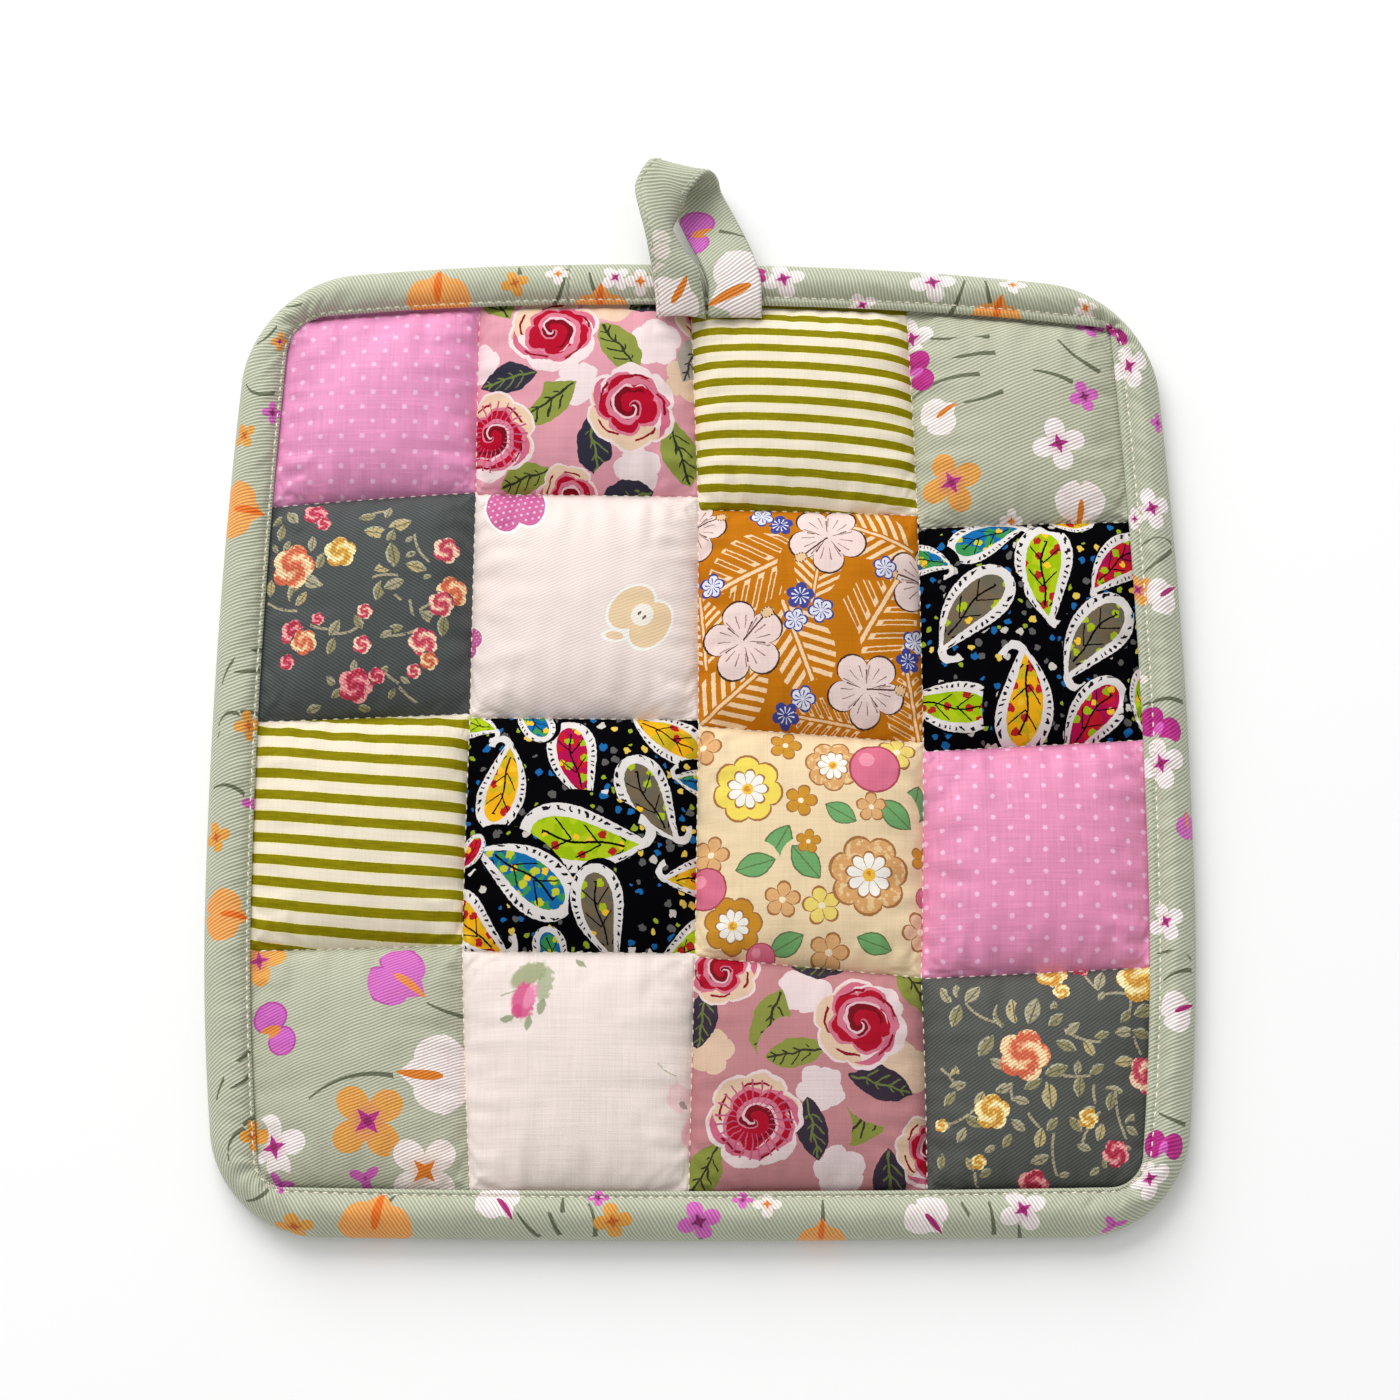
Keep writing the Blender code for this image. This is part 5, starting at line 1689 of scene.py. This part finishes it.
tropical = {
    "fronds": (
        (11.5, 33, 13, 205, 1), (35.5, 23.5, 14, 60, 1), (20.5, 16.5, 11, -70, 2),
        (35, 41.5, 9.5, 160, 2), (6, 7, 10.5, 40, 2), (43.5, 4, 9.5, 100, 1), (24, 33.5, 7.5, 80, 2),
        (0.5, 21, 8, 95, 2), (26, 2, 8, 170, 1),
    ),
    "blooms": (
        (9, 18.5, 8.8, 30, 1), (26, 40.5, 8.4, 200, 1), (46.5, 32, 8.6, 150, 1), (33.5, 8.5, 8.2, -20, 1),
        (-1.5, 43.5, 7.4, 0, 1),
    ),
    "blossoms": (
        (20.4, 27.6, 2.9, 10, 2), (24.6, 24.6, 2.8, 40, 1), (19.4, 22.6, 2.6, 0, 1),
        (16.5, 43.5, 2.7, 20, 2), (12.8, 45.6, 2.6, 50, 1), (44, 19, 2.8, 0, 1), (42.4, 14.8, 2.7, 30, 2),
        (2.4, 30.6, 2.8, 10, 1), (20.8, 6.6, 2.8, 0, 1), (17.4, 3.4, 2.8, 50, 2), (37.6, 34, 2.6, 10, 1),
    ),
}
meadow = {
    "flowers": ((34, 18, 8.2, 10, 1), (10, 35.5, 7.2, 40, 2), (27, 40.5, 5.6, 15, 1), (7, 8, 6, 60, 3)),
    "leaves": (
        (16, 24, 4.6, 60, 1), (21.5, 20.5, 4.4, 130, 1), (11.5, 20, 4.2, 15, 1), (43.5, 32.5, 4.8, 75, 1),
        (39.5, 30.5, 4.4, 140, 1), (17.6, 4.2, 4, 30, 1), (28.5, 30.5, 3.6, -30, 1),
        (35, 4.4, 3.8, 160, 1),
    ),
    "minor": (
        (20.6, 33, 3.4, 0, 4), (34.6, 31.8, 3.2, 20, 1), (2.4, 22.4, 4, 0, 1), (24.6, 11.8, 4, 30, 2),
        (16.8, 13, 3.8, 10, 1), (44.6, 7, 4.2, 40, 3), (26, 2.6, 4.2, 0, 1), (40, 43.6, 4, 10, 2),
        (17.6, 45, 3.4, 0, 4), (45.6, 22, 3, 0, 4), (1, 45, 4, 0, 1), (22, 24.6, 2.6, 10, 4),
    ),
    "buds": ((35.4, 40, 5.2, 0, 1), (1.4, 15.6, 4.4, 0, 1), (46, 14, 2.4, 0, 1), (12.4, 1.6, 3, 0, 1)),
}
apples = ((8.4, 44.6, 7, 14, 1), (33.9, 20.2, 7.2, 138, 2), (-1.8, 16, 4, 60, 1))
rosebud = {
    "blots": (
        (12.4, 43, (4.4, 2.4), 35, (150, 160, 112), 0.85),
        (15.6, 41, (1.7, 4), -10, (150, 164, 116), 0.75),
        (11.4, 37.6, (2.5, 4), -8, (216, 88, 138), 0.95),
        (12.8, 38.6, (1.2, 3), -20, (238, 150, 184), 0.75),
        (10.2, 35.4, (1.2, 1.5), 0, (208, 70, 126), 0.8),
        (42.2, 18.6, (2.6, 3.2), 0, (236, 182, 190), 0.55),
        (44.8, 12, (2, 3.4), -20, (238, 160, 178), 0.6), (43.2, 17.2, (0.7, 1), 30, (120, 122, 104), 0.7),
        (44.6, 8.8, (0.5, 0.6), 0, (120, 126, 104), 0.6),
    ),
    "leaves": (
        (8.2, 34, 1.6, 10, 1), (12.4, 33, 1.7, 80, 1), (15, 36.4, 2, 75, 1), (22.6, 45.6, 1.5, -40, 1),
    ),
    "stems": ((39.8, 23.8, 2.3, -33, 0.5), (8.6, 39.2, 1.6, 20, 0.2)),
}


twillThreads = {
    "pitch": 0.70, "floats": 0.9, "contrast": 0.58, "relief": 0.10, "roughness": 0.66, "gloss": 0.35,
    "sheen": 0.15, "patchy": 0.14,
}
fineTwill = twillThreads | {"pitch": 0.62, "contrast": 0.56, "relief": 0.06, "roughness": 0.72}
bindingThreads = twillThreads | {"contrast": 0.66, "relief": 0.14, "sharp": 1.2, "tone": 1.02}
# painted shade: the loop is the binding's cloth darkened all over, tone 0.94 against 1.02
shadedLoopThreads = bindingThreads | {"contrast": 0.62, "relief": 0.13, "tone": 0.94}
appleThreads = fineTwill | {"contrast": 0.09, "relief": 0.03, "gloss": 0.45, "roughness": 0.55}
plainThreads = {
    "pitch": 0.34, "contrast": 0.14, "relief": 0.045, "roughness": 0.78, "gloss": 0.25,
    "sheen": 0.1, "slubs": 1.0,
}
mattThreads = plainThreads | {"contrast": 0.12, "gloss": 0.10, "sheen": 0.0}
roseThreads = mattThreads | {"contrast": 0.10, "gloss": 0.12}
blackThreads = mattThreads | {"contrast": 0.08, "slubs": 0.4, "gloss": 0.02}
glossyThreads = plainThreads | {"contrast": 0.26, "gloss": 0.5, "roughness": 0.52, "patchy": 0.2}


def sageCotton(name, threads=twillThreads, ground="ground", strip=None):
    # With a strip, the motifs are placed on the pad and carried over onto that strip
    cloth = Cotton(name, sageInks[ground])
    if name in sageFlowers:
        tables = (sageFlowers[name], sageStems[name])
        if strip:
            tables = [ontoBinding(strip, rows) for rows in tables]
        sagePrint(cloth, *tables)
    return cloth.finish(twill, threads)


def slateCotton(name, ground):
    cloth = Cotton(name, ground)
    slatePrint(cloth, slateRoses[name], slateLeaves[name], slateVines[name])
    return cloth.finish(twill, fineTwill)


def paisleyCotton(name):
    cloth = Cotton(name, paisleyInks["ground"])
    paisleyPrint(cloth, paisleys[name])
    return cloth.finish(plainWeave, blackThreads)


def roseCotton(name, ground, shade):
    cloth = Cotton(name, ground)
    rosePrint(cloth, roses[name], roseLeaves[name], rosePetals[name])
    # painted shade: the whole patch is darkened towards a dark brown by this share
    cloth.paint(roseInks["shade"], shade)
    return cloth.finish(plainWeave, roseThreads)


def printedCotton(name, ground, paintPrint, layout, threads, weave=plainWeave):
    # A cloth with a print of its own; layout is what that print asks for
    cloth = Cotton(name, ground)
    paintPrint(cloth, *layout)
    return cloth.finish(weave, threads)


def patchCottons():
    # From the top left, row by row
    stripeGround = stripeInks["ground"]
    return (
        printedCotton("pinDotsAcross", (235, 148, 195), dotPrint, (4.27, 3.05, True), glossyThreads),
        roseCotton("r1c2", (228, 160, 173), 0.0),
        printedCotton("stripesNarrow", stripeGround, stripePrint, (3.76, 0.4), mattThreads),
        sageCotton("r1c4", ground="patchGround"),
        slateCotton("r2c1", (70, 75, 74)),
        printedCotton("apples", appleInks["ground"], applePrint, (apples,), appleThreads, twill),
        printedCotton("tropical", tropicalInks["ground"], tropicalPrint, tropical.values(), mattThreads),
        paisleyCotton("r2c4"),
        printedCotton("stripesWide", stripeGround, stripePrint, (4.44, 1.0), mattThreads),
        paisleyCotton("r3c2"),
        printedCotton("meadow", meadowInks["ground"], meadowPrint, meadow.values(), plainThreads),
        printedCotton("pinDotsUp", (233, 143, 183), dotPrint, (4.4, 3.4, False), glossyThreads),
        sageCotton("r4c1", twillThreads | {"pitch": 0.60}, "patchGround"),
        printedCotton("rosebud", rosebudInks["ground"], rosebudPrint, rosebud.values(), plainThreads),
        # the lower rose patch gets 0.20 of painted shade over its whole print
        roseCotton("r4c3", (206, 142, 146), 0.20),
        slateCotton("r4c4", (78, 80, 75)),
    )


def ontoBinding(strip, rows):
    # From mm on the pad to mm along and across the strip, the turn taken from the strip's own run
    face = slice(2, 24)
    plan = strip["points"][face, :, :2]
    ahead = np.roll(strip["middle"], -1, axis=0) - strip["middle"]
    placed = []
    for x, y, size, turn, kind in rows:
        gaps = np.hypot(plan[..., 0] - x * mm, plan[..., 1] - y * mm)
        row, station = np.unravel_index(np.argmin(gaps), gaps.shape)
        run = math.degrees(math.atan2(ahead[station, 1], ahead[station, 0]))
        across = strip["across"][face][row, station]
        along = strip["along"][station] + strip["lead"][face][row, station]
        placed.append((float(along), float(across), size, turn - run, kind))
    return placed


print("finishes")


def plainFinish(name, colour):
    # One even colour, for the threads and the floor
    material = bpy.data.materials.new(name)
    material.use_nodes = True
    shader = material.node_tree.nodes["Principled BSDF"]
    shader.inputs["Base Color"].default_value = (*colour, 1)
    shader.inputs["Roughness"].default_value = 0.8
    return material


cream = plainFinish("cream", (0.90, 0.82, 0.68))
sageThread = plainFinish("sage thread", dye(180, 186, 162)[:3])
strip = bindingSurface()
frontU, frontV, frontPoints = frontGrid()
frontPoints = dressFront(frontU, frontV, frontPoints)
back = padBacking(sageCotton("backing"))
closeSeams(back)
# How each square's threads lie, from the top left: the ribs' own direction is 90 less
lies = (
    {}, {}, {"tilt": (-3.5, -2.1), "arch": (0.2, 0.4)}, {"ribs": 114},
    {"ribs": 58}, {"ribs": 112}, {}, {},
    {"tilt": (-3.3, -3.0), "arch": (-0.9, -0.8)}, {}, {}, {},
    {"ribs": 112}, {}, {}, {"ribs": 125},
)
patches = []
for number, (material, lie) in enumerate(zip(patchCottons(), lies)):
    patches.append(patchPiece(number // 4 + 1, number % 4 + 1, material, lie))
rim = bindingPiece(strip, sageCotton("binding", bindingThreads, strip=strip))
closeSeams(rim)
# the loop's cloth is painted darker all over, as shade
loopStrip, loopUpper, loopNormal = loopPiece(sageCotton("loop", shadedLoopThreads))
closeSeams(loopStrip)
threads = [
    stitchPiece("quilting_stitches", seamRows(), cream),
    stitchPiece("binding_stitches", rimRows(strip), cream),
    stitchPiece("loop_stitches", loopStitchRows(loopUpper, loopNormal), sageThread),
]

for piece in (back, rim, loopStrip, *patches, *threads):
    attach(piece, body)
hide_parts("quilted_pad")
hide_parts("binding")
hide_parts("hanging_loop")

print("floor, light and camera")
studio = {
    "floor": 3.0,
    "floorShade": (0.97, 0.97, 0.97),
    "room": 0.52,  # strength of the white light from all round
    "lamps": (
        {"name": "key", "place": (-0.80, 1.88, 1.48), "size": 2.0, "power": 58},
        {"name": "overhead", "place": (-0.80, 0.50, 2.50), "size": 1.6, "power": 6},
    ),
}


def floorPiece():
    half = studio["floor"] / 2
    corners = np.array([(-half, -half, 0), (half, -half, 0), (half, half, 0), (-half, half, 0)])
    shade = plainFinish("floor", studio["floorShade"])
    return putMesh("floor", corners, np.array([[0, 1, 2, 3]]), shade)


def putLamp(lamp):
    # A square soft light that faces the middle of the floor
    data = bpy.data.lights.new(lamp["name"], "AREA")
    data.size = lamp["size"]
    data.energy = lamp["power"]
    light = bpy.data.objects.new(lamp["name"], data)
    light.location = lamp["place"]
    x, y, z = lamp["place"]
    light.rotation_euler = (math.atan2(math.hypot(x, y), z), 0, math.atan2(x, -y))
    bpy.context.scene.collection.objects.link(light)


def putRoom():
    world = bpy.data.worlds.new("studio")
    world.use_nodes = True
    room = world.node_tree.nodes["Background"]
    room.inputs["Color"].default_value = (1, 1, 1, 1)
    room.inputs["Strength"].default_value = studio["room"]
    bpy.context.scene.world = world


floorPiece()
for lamp in studio["lamps"]:
    putLamp(lamp)
putRoom()

cameraAt = {
    "elevation": 76, "distance": 0.80, "target": (0, -0.0034, 0.004), "lens": 100.6, "sensor": 36,
    "near": 0.01,
}


def placeCamera():
    data = bpy.data.cameras.new("camera")
    data.lens = cameraAt["lens"]
    data.sensor_width = cameraAt["sensor"]
    data.clip_start = cameraAt["near"]
    made = bpy.data.objects.new("camera", data)
    angle = math.radians(cameraAt["elevation"])
    x, y, z = cameraAt["target"]
    distance = cameraAt["distance"]
    made.location = (x, y - distance * math.cos(angle), z + distance * math.sin(angle))
    made.rotation_euler = (math.pi / 2 - angle, 0, 0)
    bpy.context.scene.collection.objects.link(made)
    bpy.context.scene.camera = made


placeCamera()
bpy.context.scene.view_settings.view_transform = "Standard"
